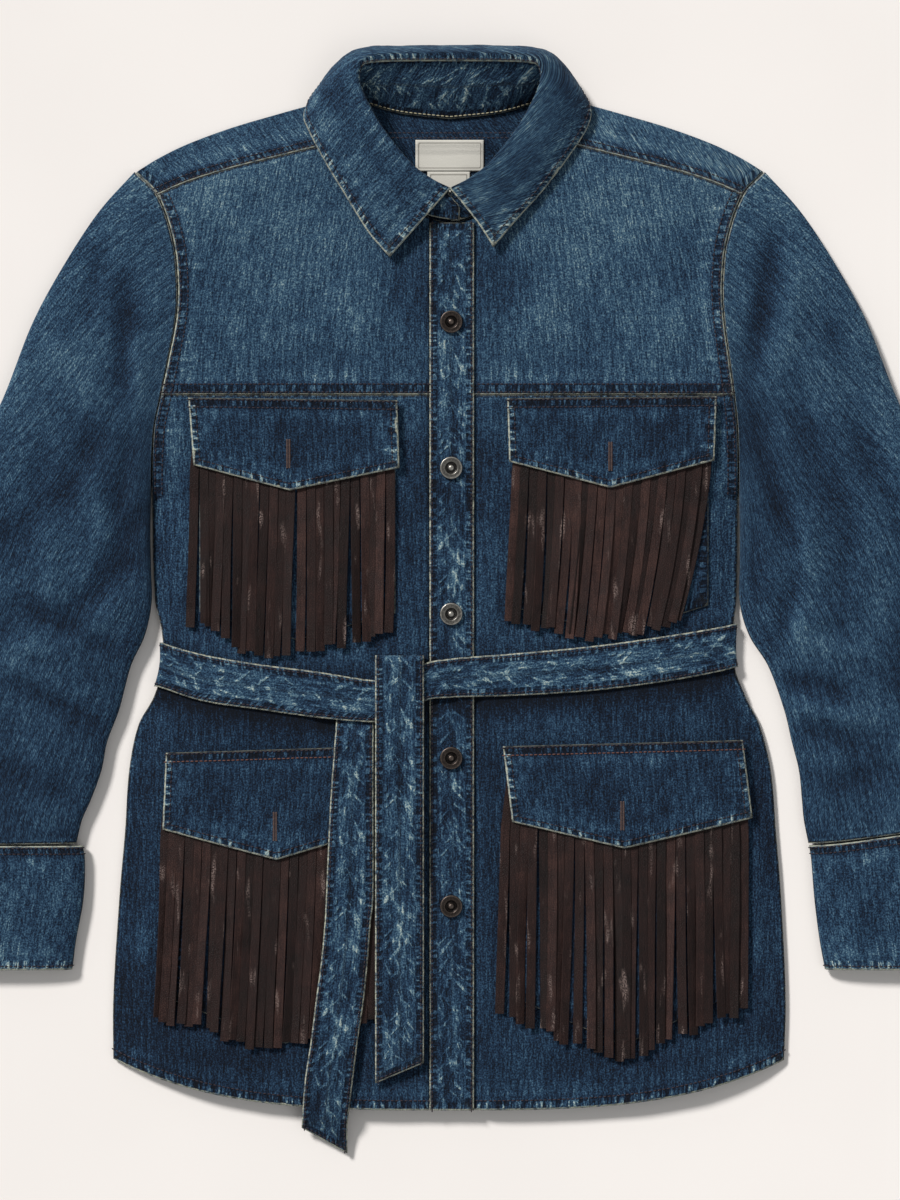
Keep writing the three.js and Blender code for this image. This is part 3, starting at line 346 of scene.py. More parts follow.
def build_mesh(name, points, quads):
    a, b, c = points[quads[:, 0]], points[quads[:, 1]], points[quads[:, 2]]
    d = points[quads[:, 3]]
    volume = sum(np.einsum("ij,ij->i", a, np.cross(p, q)).sum() for p, q in ((b, c), (c, d)))
    if volume < 0:
        quads = quads[:, ::-1]
    used, flat = np.unique(quads, return_inverse=True)
    quads = flat.reshape(-1, 4)
    points = points[used]
    mesh = bpy.data.meshes.new(name)
    mesh.vertices.add(len(points))
    mesh.vertices.foreach_set("co", (points * MM).astype(np.float32).ravel())
    mesh.loops.add(quads.size)
    mesh.loops.foreach_set("vertex_index", quads.astype(np.int32).ravel())
    mesh.polygons.add(len(quads))
    mesh.polygons.foreach_set("loop_start", np.arange(0, quads.size, 4, dtype=np.int32))
    mesh.polygons.foreach_set("loop_total", np.full(len(quads), 4, np.int32))
    mesh.update(calc_edges=True)
    mesh.polygons.foreach_set("use_smooth", np.ones(len(quads), bool))
    mesh.validate()
    return add_piece(name, mesh), used, quads

def spread(grid):
    """Lengths along both ways of a grid, from its low corner."""
    di = np.linalg.norm(np.diff(grid, axis=0), axis=2)
    dj = np.linalg.norm(np.diff(grid, axis=1), axis=2)
    zero_i = np.zeros((1, grid.shape[1]))
    zero_j = np.zeros((grid.shape[0], 1))
    return np.concatenate([zero_i, np.cumsum(di, 0)]), np.concatenate([zero_j, np.cumsum(dj, 1)], 1)

def shell(name, outer, inner, keep=None, wrap=False, sewn="LRTB", tone=0.45, puck=1.0, rim=0.5,
          soft="", bare_shaded="", free=""):
    """outer and inner are grids (across, down, 3) in mm. Edges named in `sewn` carry a seam, those in
    `soft` only a narrow one, those named bare show hardly any worn rim and get a narrow painted shadow
    instead, and those in `free` are worn pale like the edge of a hem."""
    n, m = outer.shape[:2]
    ids = np.arange(n * m).reshape(n, m)
    if wrap:
        ids = np.vstack([ids, ids[:1]])
    a, b, c, d = ids[:-1, :-1], ids[1:, :-1], ids[1:, 1:], ids[:-1, 1:]
    if keep is None:
        keep = np.ones(a.shape, bool)
    N = n * m
    quads = [np.stack([q[keep] for q in (a, b, c, d)], 1), np.stack([q[keep] for q in (a, d, c, b)], 1) + N]
    empty = np.zeros_like(keep)
    left, right, up, down = empty.copy(), empty.copy(), empty.copy(), empty.copy()
    left[1:], right[:-1] = keep[:-1], keep[1:]
    if wrap:
        left[0], right[-1] = keep[-1], keep[0]
    up[:, 1:], down[:, :-1] = keep[:, :-1], keep[:, 1:]
    for beside, p, q in ((up, a, b), (right, b, c), (down, c, d), (left, d, a)):
        open_side = keep & ~beside
        p, q = p[open_side], q[open_side]
        quads.append(np.stack([p, p + N, q + N, q], 1))
    points = np.concatenate([outer.reshape(-1, 3), inner.reshape(-1, 3)])
    piece, used, faces = build_mesh(name, points, np.concatenate(quads))
    across, down_ = spread(outer)
    far_i, far_j = across[-1:, :] - across, down_[:, -1:] - down_
    reach = np.full((n, m), FAR_FROM_SEAM)
    run = np.zeros((n, m))
    fold = np.full((n, m), puck, float)
    worn = np.full((n, m), rim, float)
    sides = (("L", across, down_), ("R", far_i, down_ + (0 if wrap else 700)),
             ("T", down_, across + 1400), ("B", far_j, across + 2100))
    for edge, dist, coord in sides:
        if edge in sewn:
            nearer = dist < reach
            reach = np.where(nearer, dist, reach)
            run = np.where(nearer, coord, run)
            fold = np.where(nearer, NARROW if edge in soft else puck, fold)
            at_edge = WORN_HEM if edge in free else (BARE_SHADED if edge in bare_shaded else 1.0) * rim
            worn = np.where(nearer, at_edge, worn)
    if name.endswith("_front"):
        x, y = outer[..., 0], outer[..., 1]
        beside_seam = (np.abs(x) > half_width(x, y) - 30) & (y < ARM_PIT)
        fold = np.where(beside_seam & (y - hem_y(x) > reach + 1), NARROW, fold)
    p0, p1, p2, p3 = (outer.reshape(-1, 3)[q[keep]] for q in (a, b, c, d))
    area = 0.5 * np.linalg.norm(np.cross(p2 - p0, p3 - p1), axis=1).sum() * MM * MM
    closing = np.linalg.norm(outer[-1] - outer[0], axis=1) if wrap else 0.0
    cuts[name] = (float(np.max(across[-1] + closing)) * MM, float(np.max(down_[:, -1])) * MM, float(area))
    tone = tone if callable(tone) else (lambda x, y, t=tone: np.full(x.shape, t))
    shade = tone(outer[..., 0], outer[..., 1])
    values = {"reach": reach * MM, "run": run * MM, "tone": shade, "puck": fold, "rim": worn}
    for label, grid in values.items():
        store(piece.data, label, np.tile(grid.ravel(), 2)[used])
    uv = np.stack([across, down_], 2).reshape(-1, 2) * MM
    corner_uv = np.concatenate([uv, uv])[used][faces.ravel()]
    if wrap:
        last = np.tile(np.repeat(np.arange(n) >= n // 2, m), 2)[used][faces]
        first = np.tile(np.repeat(np.arange(n) == 0, m), 2)[used][faces.ravel()]
        closing_uv = np.tile(np.tile(across[-1] + closing, n), 2)[used][faces.ravel()] * MM
        beside_last = np.repeat(last.any(1), 4)
        corner_uv[:, 0] = np.where(first & beside_last, closing_uv, corner_uv[:, 0])
    layer = piece.data.uv_layers.new(name="cloth")
    layer.data.foreach_set("uv", corner_uv.astype(np.float32).ravel())
    grids[name] = outer

print("shell tools ready")

# %% [markdown]
# ## Raised seams
#
# Where two panels join, the cloth is folded over itself and stitched flat, which leaves a low raised
# band. A hem is the same: cloth turned up once or twice. It could be a texture, but a real step
# catches the light along its whole length, so the outer face is lifted there by half a millimetre.

# %% A felled band beside an edge
def band(distance, wide=9.5, high=0.55):
    """Height of a folded seam that lies within `wide` of an edge."""
    return high * ease((wide + 0.8 - distance) / 1.8)

def meet(side, start, k, curve):
    x = mix(start, 220.0, k)
    for _ in range(30):
        x = mix(start, edge_x(side, curve(side * x)), k)
    return curve(side * x)

def stack(x, y, z):
    return np.stack(np.broadcast_arrays(x, y, z), -1).astype(float)

def body_tone(x, y):
    # painted shade: the troughs of folds and creases are darker and the ridges of creases paler, as light falls
    # on them
    dark = 0.10 * np.maximum(soft_lines(FOLDS, x, y), 0) + 0.09 * soft_lines(CREASES, x, y)
    cloud = 0.025 * ripple(x / 31 + y / 47, 4) + 0.02 * ripple(y / 29 - x / 23, 5)
    # painted shadow of the belt and painted shade of the gathered cloth above it, over cloth left unfaded under
    # the belt
    waist = 0.27 * belt_fade_and_shadow(x, y) * (np.abs(x) < half_width(x, y) + 2)
    seams = (0.07 * np.exp(-((y - CHEST_SEAM) / 26) ** 2)
             + 0.08 * np.exp(-(np.maximum(np.abs(x) - 14, 0) / 22) ** 2))
    return fade(x, y) - 0.03 - 0.95 * dark + cloud - waist - seams * (y > 60) * (np.abs(x) < 205)

def lined(outer, side):
    """The inner face of a front or a yoke: a layer of cloth lower, and without the raised bands."""
    x, y = outer[..., 0], outer[..., 1]
    return stack(x, y, body_top(x, y) - (dip(x) if side > 0 else 0) - CLOTH)

# %% [markdown]
# ## The two fronts
#
# Each front runs from the seam under the yoke to the hem, which is lower in the middle than at the
# sides. On the real garment the wearer's left front carries on under the placket, so here it does
# too, and it drops there to make room.

# %% Left and right front
STEP = 3.0
def front_grid(side, start):
    top = CHEST_SEAM - SEAM
    cols = int((float(edge_x(side, -300)) - start) / STEP)
    k = np.linspace(0, 1, cols + 1)
    k = 0.75 * k + 0.25 * (1 - (1 - k) ** 2)
    low = meet(side, start, k, hem_y)
    rows = int((top - HEM) / STEP)
    v = np.linspace(0, 1, rows + 1)
    y = mix(top, low[:, None], v[None, :])
    x = side * mix(start, edge_x(side, y), k[:, None])
    z = body_top(x, y) - (dip(x) if side > 0 else 0)
    z = z + band(y - low[:, None], 8.5, 0.5) * ease((edge_x(side, y) - np.abs(x)) / 4)
    return stack(x, y, z)

FRONTS = ((-1, "right", -PLACKET_LEFT + SEAM), (1, "left", -UNDERLAP))
for side, word, start in FRONTS:
    grid = front_grid(side, start)
    shell(word + "_front", grid, lined(grid, side), tone=body_tone, sewn="RTB", rim=0.3, soft="T", free="B")
print("each front has", len(pieces["left_front"].data.polygons), "faces")

# %% [markdown]
# ## The back and the yokes
#
# The back lies flat on the floor and is seen only from behind and inside the neck. The back yoke is
# one piece of cloth that runs up the back, folds over the shoulders and comes down to a seam in front
# of them. Making it as a single grid that turns the corner keeps that fold soft and unbroken.

# %% Back panel
def back_grid():
    top = BACK_SEAM - SEAM
    c = np.linspace(-1, 1, 97)
    low = np.where(c < 0, meet(-1, 0, np.abs(c), hem_y), meet(1, 0, np.abs(c), hem_y))
    v = np.linspace(0, 1, 125)
    y = mix(top, low[:, None], v[None, :])
    wide = np.where(c[:, None] < 0, edge_x(-1, y), edge_x(1, y))
    x = c[:, None] * wide
    return stack(x, y, lift(y))

back = back_grid()
raised = back.copy()
raised[..., 2] += CLOTH
shell("back", back, raised, tone=lambda x, y: 0.36 + 0.03 * ripple(x / 37 + y / 51, 6), sewn="LRTB")

# %% Front yokes
def yoke_grid(side, start):
    def top_y(x):
        return np.where(np.abs(x) < NECK_HALF, neck_y(x), seam_y(x)) - SEAM
    outward = 48
    inner_x = np.linspace(start, NECK_HALF, 34)[:-1]
    k = np.linspace(0, 1, outward + 1)
    k = 0.8 * k + 0.2 * (1 - (1 - k) ** 2)
    high = np.concatenate([top_y(inner_x), meet(side, NECK_HALF, k, lambda x: seam_y(x) - SEAM)])
    v = np.linspace(0, 1, 68)
    y = mix(CHEST_SEAM, high[:, None], v[None, :])
    out = mix(NECK_HALF, edge_x(side, y), np.concatenate([np.zeros(len(inner_x)), k])[:, None])
    x = side * np.where(np.arange(len(high))[:, None] < len(inner_x),
                        np.concatenate([inner_x, np.zeros(outward + 1)])[:, None], out)
    z = body_top(x, y) - (dip(x) if side > 0 else 0)
    z = z + band(y - CHEST_SEAM, 9.5, 0.6) * ease((y - CHEST_SEAM + 0.8) / 0.8)
    return stack(x, y, z)

for side, word, start in FRONTS:
    grid = yoke_grid(side, start)
    shell(word + "_yoke", grid, lined(grid, side), tone=body_tone, sewn="RTB", rim=1.05, soft="B", bare_shaded="B")
print("yoke faces", len(pieces["right_yoke"].data.polygons))

# %% Back yoke, over the shoulders
FOLD_ROUND, NECK_FOLD = 1.5, 380.5

def back_yoke_grid():
    half, necks, back_rows, turn_rows, front_rows = 48, 26, 40, 7, 26
    n_cols = 2 * half + 2 * necks + 1
    c = np.arange(n_cols) - half - necks
    side = np.where(c < 0, -1.0, 1.0)
    n = np.abs(c)
    k = np.clip((n - necks) / half, 0, 1)
    in_neck = n < necks
    def edge(y):
        return np.where(side < 0, edge_x(-1, y), edge_x(1, y))
    x_top = mix(NECK_HALF, edge(np.full(n_cols, 330.0)), k)
    fold = np.minimum(fold_y(x_top), NECK_FOLD)
    bend = fold - FOLD_ROUND
    neck_x = side * NECK_HALF * n / necks
    seam_x = x_top.copy()
    for _ in range(30):
        seam_x = mix(NECK_HALF, edge(seam_y(seam_x)), k)
    rows_o, rows_i = [], []
    for v in np.linspace(0, 1, back_rows + 1):
        y = np.where(in_neck, mix(BACK_SEAM, back_neck_y(neck_x), v), mix(BACK_SEAM, bend, v))
        x = np.where(in_neck, neck_x, side * mix(NECK_HALF, edge(y), k))
        rows_o.append(stack(x, y, np.zeros(n_cols)))
        rows_i.append(stack(x, y, np.full(n_cols, CLOTH)))
    top_out = body_top(side * x_top, bend)
    for t in np.linspace(0, np.pi, turn_rows + 2)[1:-1]:
        x = side * mix(NECK_HALF, edge(fold - 0.6), k)
        mid, tall = top_out / 2, top_out / 2
        rows_o.append(stack(x, bend + FOLD_ROUND * np.sin(t), mid - tall * np.cos(t)))
        rows_i.append(stack(x, bend + 0.35 * np.sin(t), mid - (tall - CLOTH) * np.cos(t)))
    for v in np.linspace(0, 1, front_rows):
        y = mix(bend, seam_y(seam_x), v)
        x = side * mix(NECK_HALF, edge(y), k)
        z = body_top(x, y)
        raised = z + band(y - seam_y(seam_x), 7, 0.5) * ease((fold - y) / 8)
        rows_o.append(stack(x, y, raised))
        rows_i.append(stack(x, y, z - CLOTH))
    outer, inner = np.stack(rows_o, 1), np.stack(rows_i, 1)
    keep = np.ones((n_cols - 1, outer.shape[1] - 1), bool)
    keep[half:half + 2 * necks, back_rows:] = False
    return outer, inner, keep

outer, inner, keep = back_yoke_grid()
def yoke_tone(x, y):
    inside_neck = np.exp(-((x / 78) ** 4)) * ease((y - 190) / 20)
    return mix(0.515 + 0.03 * ripple(x / 27, 7) + 0.035 * np.sign(x), 0.3, inside_neck)
shell("shoulder_yoke", outer, inner, keep=keep, tone=yoke_tone, sewn="LRB", rim=1.05)
print("back yoke faces", len(pieces["shoulder_yoke"].data.polygons))

# %% [markdown]
# ## Sleeves and cuffs
#
# A sleeve laid flat is a tube pressed to a few fingers' height: round at its two long edges, nearly
# flat between. Each section is a squared-off ellipse, laid from the outer edge to the inner one. The
# deeper folds at the armpit and elbow come from the same crease tables as the body's.

# %% Sleeves
SLEEVE = table("s ox oy ix iy ir bow high", [
    (0, 237.2, 322, 224.4, 75, 216.9, 1, 13.5), (1, 264, 292, 225, 52, 217.4, 0.75, 14.6),
    (2, 289, 254, 224.6, 26, 217.4, 0.45, 15.6), (3, 313.5, 209, 224.2, -2, 217.6, 0.2, 16.2),
    (4, 335, 154, 229.5, -27, 225, 0, 16.4), (5, 357, 108, 240, -50, 239.3, 0, 16.2),
    (6, 375, 62, 248.5, -82, 251, 0, 15.8), (7, 389, 14, 257.5, -106, 256.8, 0, 15.4),
    (8, 398, -35, 262, -128, 262.3, 0, 15), (9, 403.5, -90, 269.5, -149, 264.5, 0, 14.6),
    (10, 404, -140, 276.5, -165, 266, 0, 14), (11, 402, -184, 281, -183, 269.5, 0, 13.4)])

def flat_round(count_up, count_low, power):
    """Places round a flattened tube: how far across (1 is the inner edge), and how high."""
    up = np.sin(np.pi / 2 * np.linspace(1, -1, count_up + 1))
    low = np.sin(np.pi / 2 * np.linspace(-1, 1, count_low + 1))
    across = np.concatenate([up[:-1], low[:-1]])
    sign = np.concatenate([np.ones(count_up), -np.ones(count_low)])
    rise = sign * np.maximum(1 - np.abs(across) ** power, 0) ** (1 / power)
    return across, rise

def tube(high, rise, wall):
    """Height of the wall of a flattened tube, which is widest at 0.42 of its height."""
    low = 0.42 * high
    return np.where(rise > 0, low + (high - low - wall) * rise, low + (low * 1.12 - wall) * rise)

def cuff_tilt(side, x, y):
    """The wearer's left cuff was laid a little turned, so its seam climbs outward."""
    return (9 * ease((np.abs(x) - 262) / 120) * 1.3 * ease((y + 278) / 94)
            * ease((-60 - y) / 100)) if side > 0 else 0

def sleeve_grid(side, wall):
    across, rise = flat_round(76, 40, 2.6)
    s = np.linspace(0, 11, 142)
    A, S = np.meshgrid(across, s, indexing="ij")
    U = np.repeat(rise[:, None], len(s), 1)
    read = lambda name: along(SLEEVE, "s", S, name)
    ox, oy, iy = read("ox"), read("oy"), read("iy")
    ix = read("ix" if side < 0 else "ir")
    wide = np.hypot(ox - ix, oy - iy)
    high = read("high")
    c = 0.5 + 0.5 * A * (1 - 2 * wall / wide)
    x, y = mix(ox, ix, c), mix(oy, iy, c)
    yy = mix(ARM_TOP, ARM_PIT, c)
    line = mix(236.8, 224 if side < 0 else 216.5, c)
    x = x + np.maximum(read("bow"), 0) * (edge_x(side, yy) + 0.4 - line)
    top = np.maximum(U, 0)
    relief = (1.25 * soft_lines(FOLDS, side * x, y) + 1.7 * soft_lines(CREASES, side * x, y)
              - slack(side * x, y) * 1.7)
    calm = ease(S / 0.35) * ease((11 - S) / 0.25)
    z = np.maximum(tube(high, U, wall), wall) - relief * top * (0.35 + 0.65 * calm)
    if wall == 0:
        z = z + band(S * 44, 7, 0.5) * top * ease(S * 44 / 2)
    y = y + cuff_tilt(side, x, y)
    return stack(side * x, y, z)

for side, name in ((-1, "right_arm"), (1, "left_arm")):
    shell(name, sleeve_grid(side, 0), sleeve_grid(side, CLOTH), wrap=True, tone=body_tone, rim=0.7,
          soft="LRTB")
print("sleeve faces", len(pieces["left_arm"].data.polygons))

# %% Cuffs
CUFF = table("y outer left right high", [
    (-277.8, 400.5, 284, 282, 12.6), (-255, 400, 281, 277.8, 13.2), (-225, 399.5, 275.6, 274, 13.6),
    (-196, 400, 274.4, 271.6, 13.8), (-184.6, 401.5, 276, 270, 13.6)])

def cuff_grid(side, wall):
    across, rise = flat_round(60, 34, 2.8)
    v = np.linspace(-277.8, -184.6, 42)
    A, Y = np.meshgrid(across, v, indexing="ij")
    U = np.repeat(rise[:, None], len(v), 1)
    outer_x = along(CUFF, "y", Y, "outer")
    inner_x = along(CUFF, "y", Y, "left" if side < 0 else "right")
    high = along(CUFF, "y", Y, "high")
    half = (outer_x - inner_x) / 2 - wall
    x = (outer_x + inner_x) / 2 - half * A
    top = np.maximum(U, 0)
    wave = 0.5 * ripple(x / 13, 8 + side) + 0.25 * ripple(x / 7 + Y / 19, 9) + 0.3 * slack(x, Y)
    z = np.maximum(tube(high, U, wall), wall) + wave * top * ease((Y + 278) / 9) * ease((-184 - Y) / 9)
    return stack(side * x, Y + cuff_tilt(side, x, Y), z)

def cuff_tone(x, y):
    return 0.42 + 0.06 * ripple(x / 11 + y / 19, 8) + 0.04 * ripple(x / 5 - y / 13, 3)
for side, name in ((-1, "right_wrist"), (1, "left_wrist")):
    shell(name, cuff_grid(side, 0), cuff_grid(side, DOUBLE), wrap=True, rim=0.9, soft="LR", free="T",
          tone=cuff_tone)
print("cuff faces", len(pieces["left_wrist"].data.polygons))

# %% [markdown]
# ## Placket, pockets and flaps
#
# These lie on the fronts, so each takes its height from the front under it plus the layers between.
# Doubled cloth that has been stitched down and washed draws up into short slanting puckers. They are
# worked into the outer face of each doubled piece with a wave that changes its length as it goes.

# %% The placket
def pucker(u, v, seed, deep, pitch):
    """Slanting puckers: u runs along the strip and v across it, in mm."""
    uneven = 1.6 * ripple(u / 23, seed) + 0.9 * ripple(v / 9 + u / 37, seed + 2)
    wave = np.sin(2 * np.pi * (u + 0.75 * v) / pitch + uneven)
    strong = 0.5 + 0.5 * np.clip(ripple(u / 13 + v / 19, seed + 5), -1, 1)
    return deep * wave * strong

def placket_grid():
    x = np.linspace(PLACKET_LEFT, PLACKET_RIGHT, 19)[:, None]
    y = np.linspace(NECK_FRONT - 1, HEM, 330)[None, :]
    z = body_top(x, y) - PLACKET_DROP
    edge = np.minimum(x - PLACKET_LEFT, PLACKET_RIGHT - x)
    outer = stack(x, y, z + DOUBLE + pucker(y, x, 11, 0.26, 8.5) * ease(edge / 3))
    return outer, stack(x, y, z)

outer, inner = placket_grid()
def placket_tone(x, y):
    """A little paler than the body's tone; a pale band runs down inside the right edge, where it is folded."""
    band_there = np.exp(-(((x - 14.2) / 2.2) ** 2)) * (0.7 + 0.3 * ripple(y / 19, 4))
    return np.clip(body_tone(x, y) + 0.1 + 0.16 * band_there, 0, 1)
shell("button_placket", outer, inner, tone=placket_tone, puck=2.1, rim=1.05, bare_shaded="T", free="B")
def placket_top(x, y):
    return float(body_top(np.array(x), np.array(y))) - PLACKET_DROP + DOUBLE
print("placket", len(pieces["button_placket"].data.polygons), "faces")

# %% Pocket patches
POCKETS = {
    "right_chest": dict(x=(-188, -41), top=146, low=(-9, -10), point=-30,
                        flap=((-196, 151.5), (-39.5, 149.5), (-37.8, 99), (-120, 82), (-192, 101)),
                        fringe=(-195, -41), lean=(-2.5, -1.5), count=23, hole=(-121, 109.5)),
    "left_chest": dict(x=(49, 194), top=146, low=(-6, -4), point=-26,
                       flap=((42.8, 151), (199.5, 152.5), (198, 104.5), (120, 84), (44.3, 103.5)),
                       fringe=(47, 198.5), lean=(-5.5, -25), count=23, hole=(120, 107.5)),
    "right_lower": dict(x=(-208, -41), top=-121, low=(-300, -301), point=-333,
                        flap=((-213, -114.5), (-39, -109), (-37.5, -167), (-130, -194.5), (-215.5, -172)),
                        fringe=(-217, -40), lean=(-5, -1), count=27, hole=(-131, -169.5)),
    "left_lower": dict(x=(45, 214), top=-114, low=(-297, -295), point=-334,
                       flap=((39.5, -109.5), (219.7, -105), (227, -163.5), (130.5, -186), (46.5, -166)),
                       fringe=(38.5, 224), lean=(-4.5, 0.5), count=27, hole=(129, -161.5))}
ENDS_OF_STRANDS = {
    "right_chest": [(0, -20), (0.1, -17), (0.15, -23), (0.25, -34), (0.32, -41), (0.45, -43),
                    (0.55, -37), (0.74, -34), (0.84, -29), (1, -24)],
    "left_chest": [(0, -17), (0.2, -22), (0.43, -29), (0.66, -26), (0.89, -20), (1, -13)],
    "right_lower": [(0, -311), (0.1, -317), (0.21, -321), (0.3, -327), (0.38, -331), (0.46, -335),
                    (0.62, -331), (0.8, -321), (1, -310)],
    "left_lower": [(0, -310), (0.1, -316), (0.18, -323), (0.26, -330), (0.37, -337), (0.45, -343),
                   (0.57, -341), (0.65, -333), (0.81, -319), (1, -307)]}
PATCH_LOW = REST
FRINGE_LOW = PATCH_LOW + PATCH + REST + 0.2
FLAP_LOW = FRINGE_LOW + LEATHER + REST

for name, p in POCKETS.items():
    u = np.linspace(0, 1, 50)[:, None]
    x = mix(p["x"][0], p["x"][1], u)
    low = mix(mix(p["low"][0], p["low"][1], u), p["point"], 1 - np.abs(2 * u - 1))
    y = mix(p["top"], low, np.linspace(0, 1, 54)[None, :])
    z = body_top(x, y) + PATCH_LOW
    shell(name + "_patch", stack(x, y, z + PATCH), stack(x, y, z), tone=lambda x, y: body_tone(x, y) - 0.04,
          sewn="LRB", rim=0.35)
print("patches made")

# %% Flaps
def flap_grid(p):
    tl, tr, br, point, bl = p["flap"]
    share = (point[0] - bl[0]) / (br[0] - bl[0])
    u = np.linspace(0, 1, 85)[:, None]
    v = np.linspace(0, 1, 30)[None, :]
    w = np.where(u < 0.5, share * u * 2, mix(share, 1, u * 2 - 1))
    low = np.where(u < 0.5, mix(bl[1], point[1], u * 2), mix(point[1], br[1], u * 2 - 1))
    x = mix(mix(tl[0], tr[0], w), mix(bl[0], br[0], w), v)
    y = mix(mix(tl[1], tr[1], w), low, v)
    z = body_top(x, y) + FLAP_LOW
    edge = np.minimum(np.minimum(u, 1 - u) * 160, np.minimum(v, 1 - v) * 58)
    rim = 0.35 * np.exp(-((edge - 3.0) / 2.0) ** 2)
    wave = 0.35 * ripple(x / 15, tl[0]) + 0.2 * ripple(x / 6.5 + y / 19, tl[1]) * np.exp(-edge / 9)
    outer = stack(x, y, z + FLAP + rim + np.maximum(wave, -0.25) * ease(edge / 2))
    return outer, stack(x, y, z)

for name, p in POCKETS.items():
    outer, inner = flap_grid(p)
    seed = p["flap"][0][0]
    def flap_tone(x, y, seed=seed):
        return 0.3 + 0.05 * ripple(x / 19 + y / 27, seed) + 0.05 * ripple(x / 8 - y / 11, seed + 3)
    shell(name + "_cover", outer, inner, tone=flap_tone, puck=0.85, rim=1.3, bare_shaded="T")
print("flaps", len(pieces["left_lower_cover"].data.polygons), "faces each")

# %% [markdown]
# ## Leather fringe
#
# Each fringe is a band of leather cut into strips about seven millimetres wide. A strip could be a
# texture on one sheet, but real strips sway, roll and lie over each other. So Geometry Nodes sweep a
# rounded strip section along one line for each strand, with its width and thickness as inputs.

# %% Lines that Geometry Nodes can follow
def line_mesh(name, lines, **values):
    """A mesh of open chains of points, in mm, with one number a point for each named value."""
    points = np.concatenate(lines) * MM
    starts = np.cumsum([0] + [len(line) for line in lines])
    edges = np.concatenate([np.stack([np.arange(a, b - 1), np.arange(a + 1, b)], 1)
                            for a, b in zip(starts[:-1], starts[1:])])
    mesh = bpy.data.meshes.new(name)
    mesh.vertices.add(len(points))
    mesh.vertices.foreach_set("co", points.astype(np.float32).ravel())
    mesh.edges.add(len(edges))
    mesh.edges.foreach_set("vertices", edges.astype(np.int32).ravel())
    for label, numbers in values.items():
        store(mesh, label, np.concatenate(numbers))
    mesh.update()
    guide = bpy.data.objects.new(name, mesh)
    scene.collection.objects.link(guide)
    return guide

def node_tree(name, sizes):
    tree = bpy.data.node_groups.new(name, "GeometryNodeTree")
    tree.interface.new_socket("Lines", in_out="INPUT", socket_type="NodeSocketGeometry")
    tree.interface.new_socket("Mesh", in_out="OUTPUT", socket_type="NodeSocketGeometry")
    for label, (kind, value) in sizes.items():
        socket = tree.interface.new_socket(label, in_out="INPUT", socket_type="NodeSocket" + kind)
        if value is not None:
            socket.default_value = value
    return tree

def put(tree, kind, settings=None, **inputs):
    node = tree.nodes.new(kind)
    for label, value in (settings or {}).items():
        setattr(node, label, value)
    for label, value in inputs.items():
        socket = node.inputs[int(label[1:])] if label[1:].isdigit() else node.inputs[label.replace("_", " ")]
        if isinstance(value, bpy.types.NodeSocket):
            tree.links.new(value, socket)
        else:
            socket.default_value = value
    return node

def grow(guide, tree, name, **sizes):
    """Runs the tree on the guide lines once and keeps the result as a plain mesh."""
    modifier = guide.modifiers.new(tree.name, "NODES")
    modifier.node_group = tree
    for item in tree.interface.items_tree:
        if item.in_out == "INPUT" and item.name.replace(" ", "_") in sizes:
            modifier[item.identifier] = sizes[item.name.replace(" ", "_")]
    graph = bpy.context.evaluated_depsgraph_get()
    mesh = bpy.data.meshes.new_from_object(guide.evaluated_get(graph), preserve_all_data_layers=True,
                                           depsgraph=graph)
    mesh.name = name
    guide.modifiers.remove(modifier)
    bpy.data.objects.remove(guide)
    return add_piece(name, mesh)

leather = bpy.data.materials.new("dark_leather")
strand_tree = node_tree("leather strands", {"Strand width": ("Float", 0.0066), "Thickness": ("Float", 0.001),
                                            "Round": ("Float", 0.0003), "Leather": ("Material", None)})
t_in = strand_tree.nodes.new("NodeGroupInput")
t_out = strand_tree.nodes.new("NodeGroupOutput")
to_curve = put(strand_tree, "GeometryNodeMeshToCurve", Mesh=t_in.outputs["Lines"])
upright = put(strand_tree, "GeometryNodeSetCurveNormal", {"mode": "Z_UP"}, Curve=to_curve.outputs["Curve"])
roll = put(strand_tree, "GeometryNodeInputNamedAttribute", {"data_type": "FLOAT"}, Name="roll")
tilted = put(strand_tree, "GeometryNodeSetCurveTilt", Curve=upright.outputs["Curve"],
             Tilt=roll.outputs["Attribute"])
section = put(strand_tree, "GeometryNodeCurvePrimitiveQuadrilateral", Width=t_in.outputs["Strand width"],
              Height=t_in.outputs["Thickness"])
rounded = put(strand_tree, "GeometryNodeFilletCurve", Curve=section.outputs["Curve"],
              Radius=t_in.outputs["Round"])
for socket in rounded.inputs:
    if socket.name == "Count":
        socket.default_value = 1
swept = put(strand_tree, "GeometryNodeCurveToMesh", Curve=tilted.outputs["Curve"],
            Profile_Curve=rounded.outputs["Curve"], Fill_Caps=True)
whole = put(strand_tree, "GeometryNodeRealizeInstances", Geometry=swept.outputs["Mesh"])
finish = put(strand_tree, "GeometryNodeSetMaterial", Geometry=whole.outputs["Geometry"],
             Material=t_in.outputs["Leather"])
strand_tree.links.new(finish.outputs["Geometry"], t_out.inputs["Mesh"])
print("strand tree has", len(strand_tree.nodes), "nodes")

# %% Sweep the strands
STRAND_LOW, STRAND_STEP = 2.78, 0.62

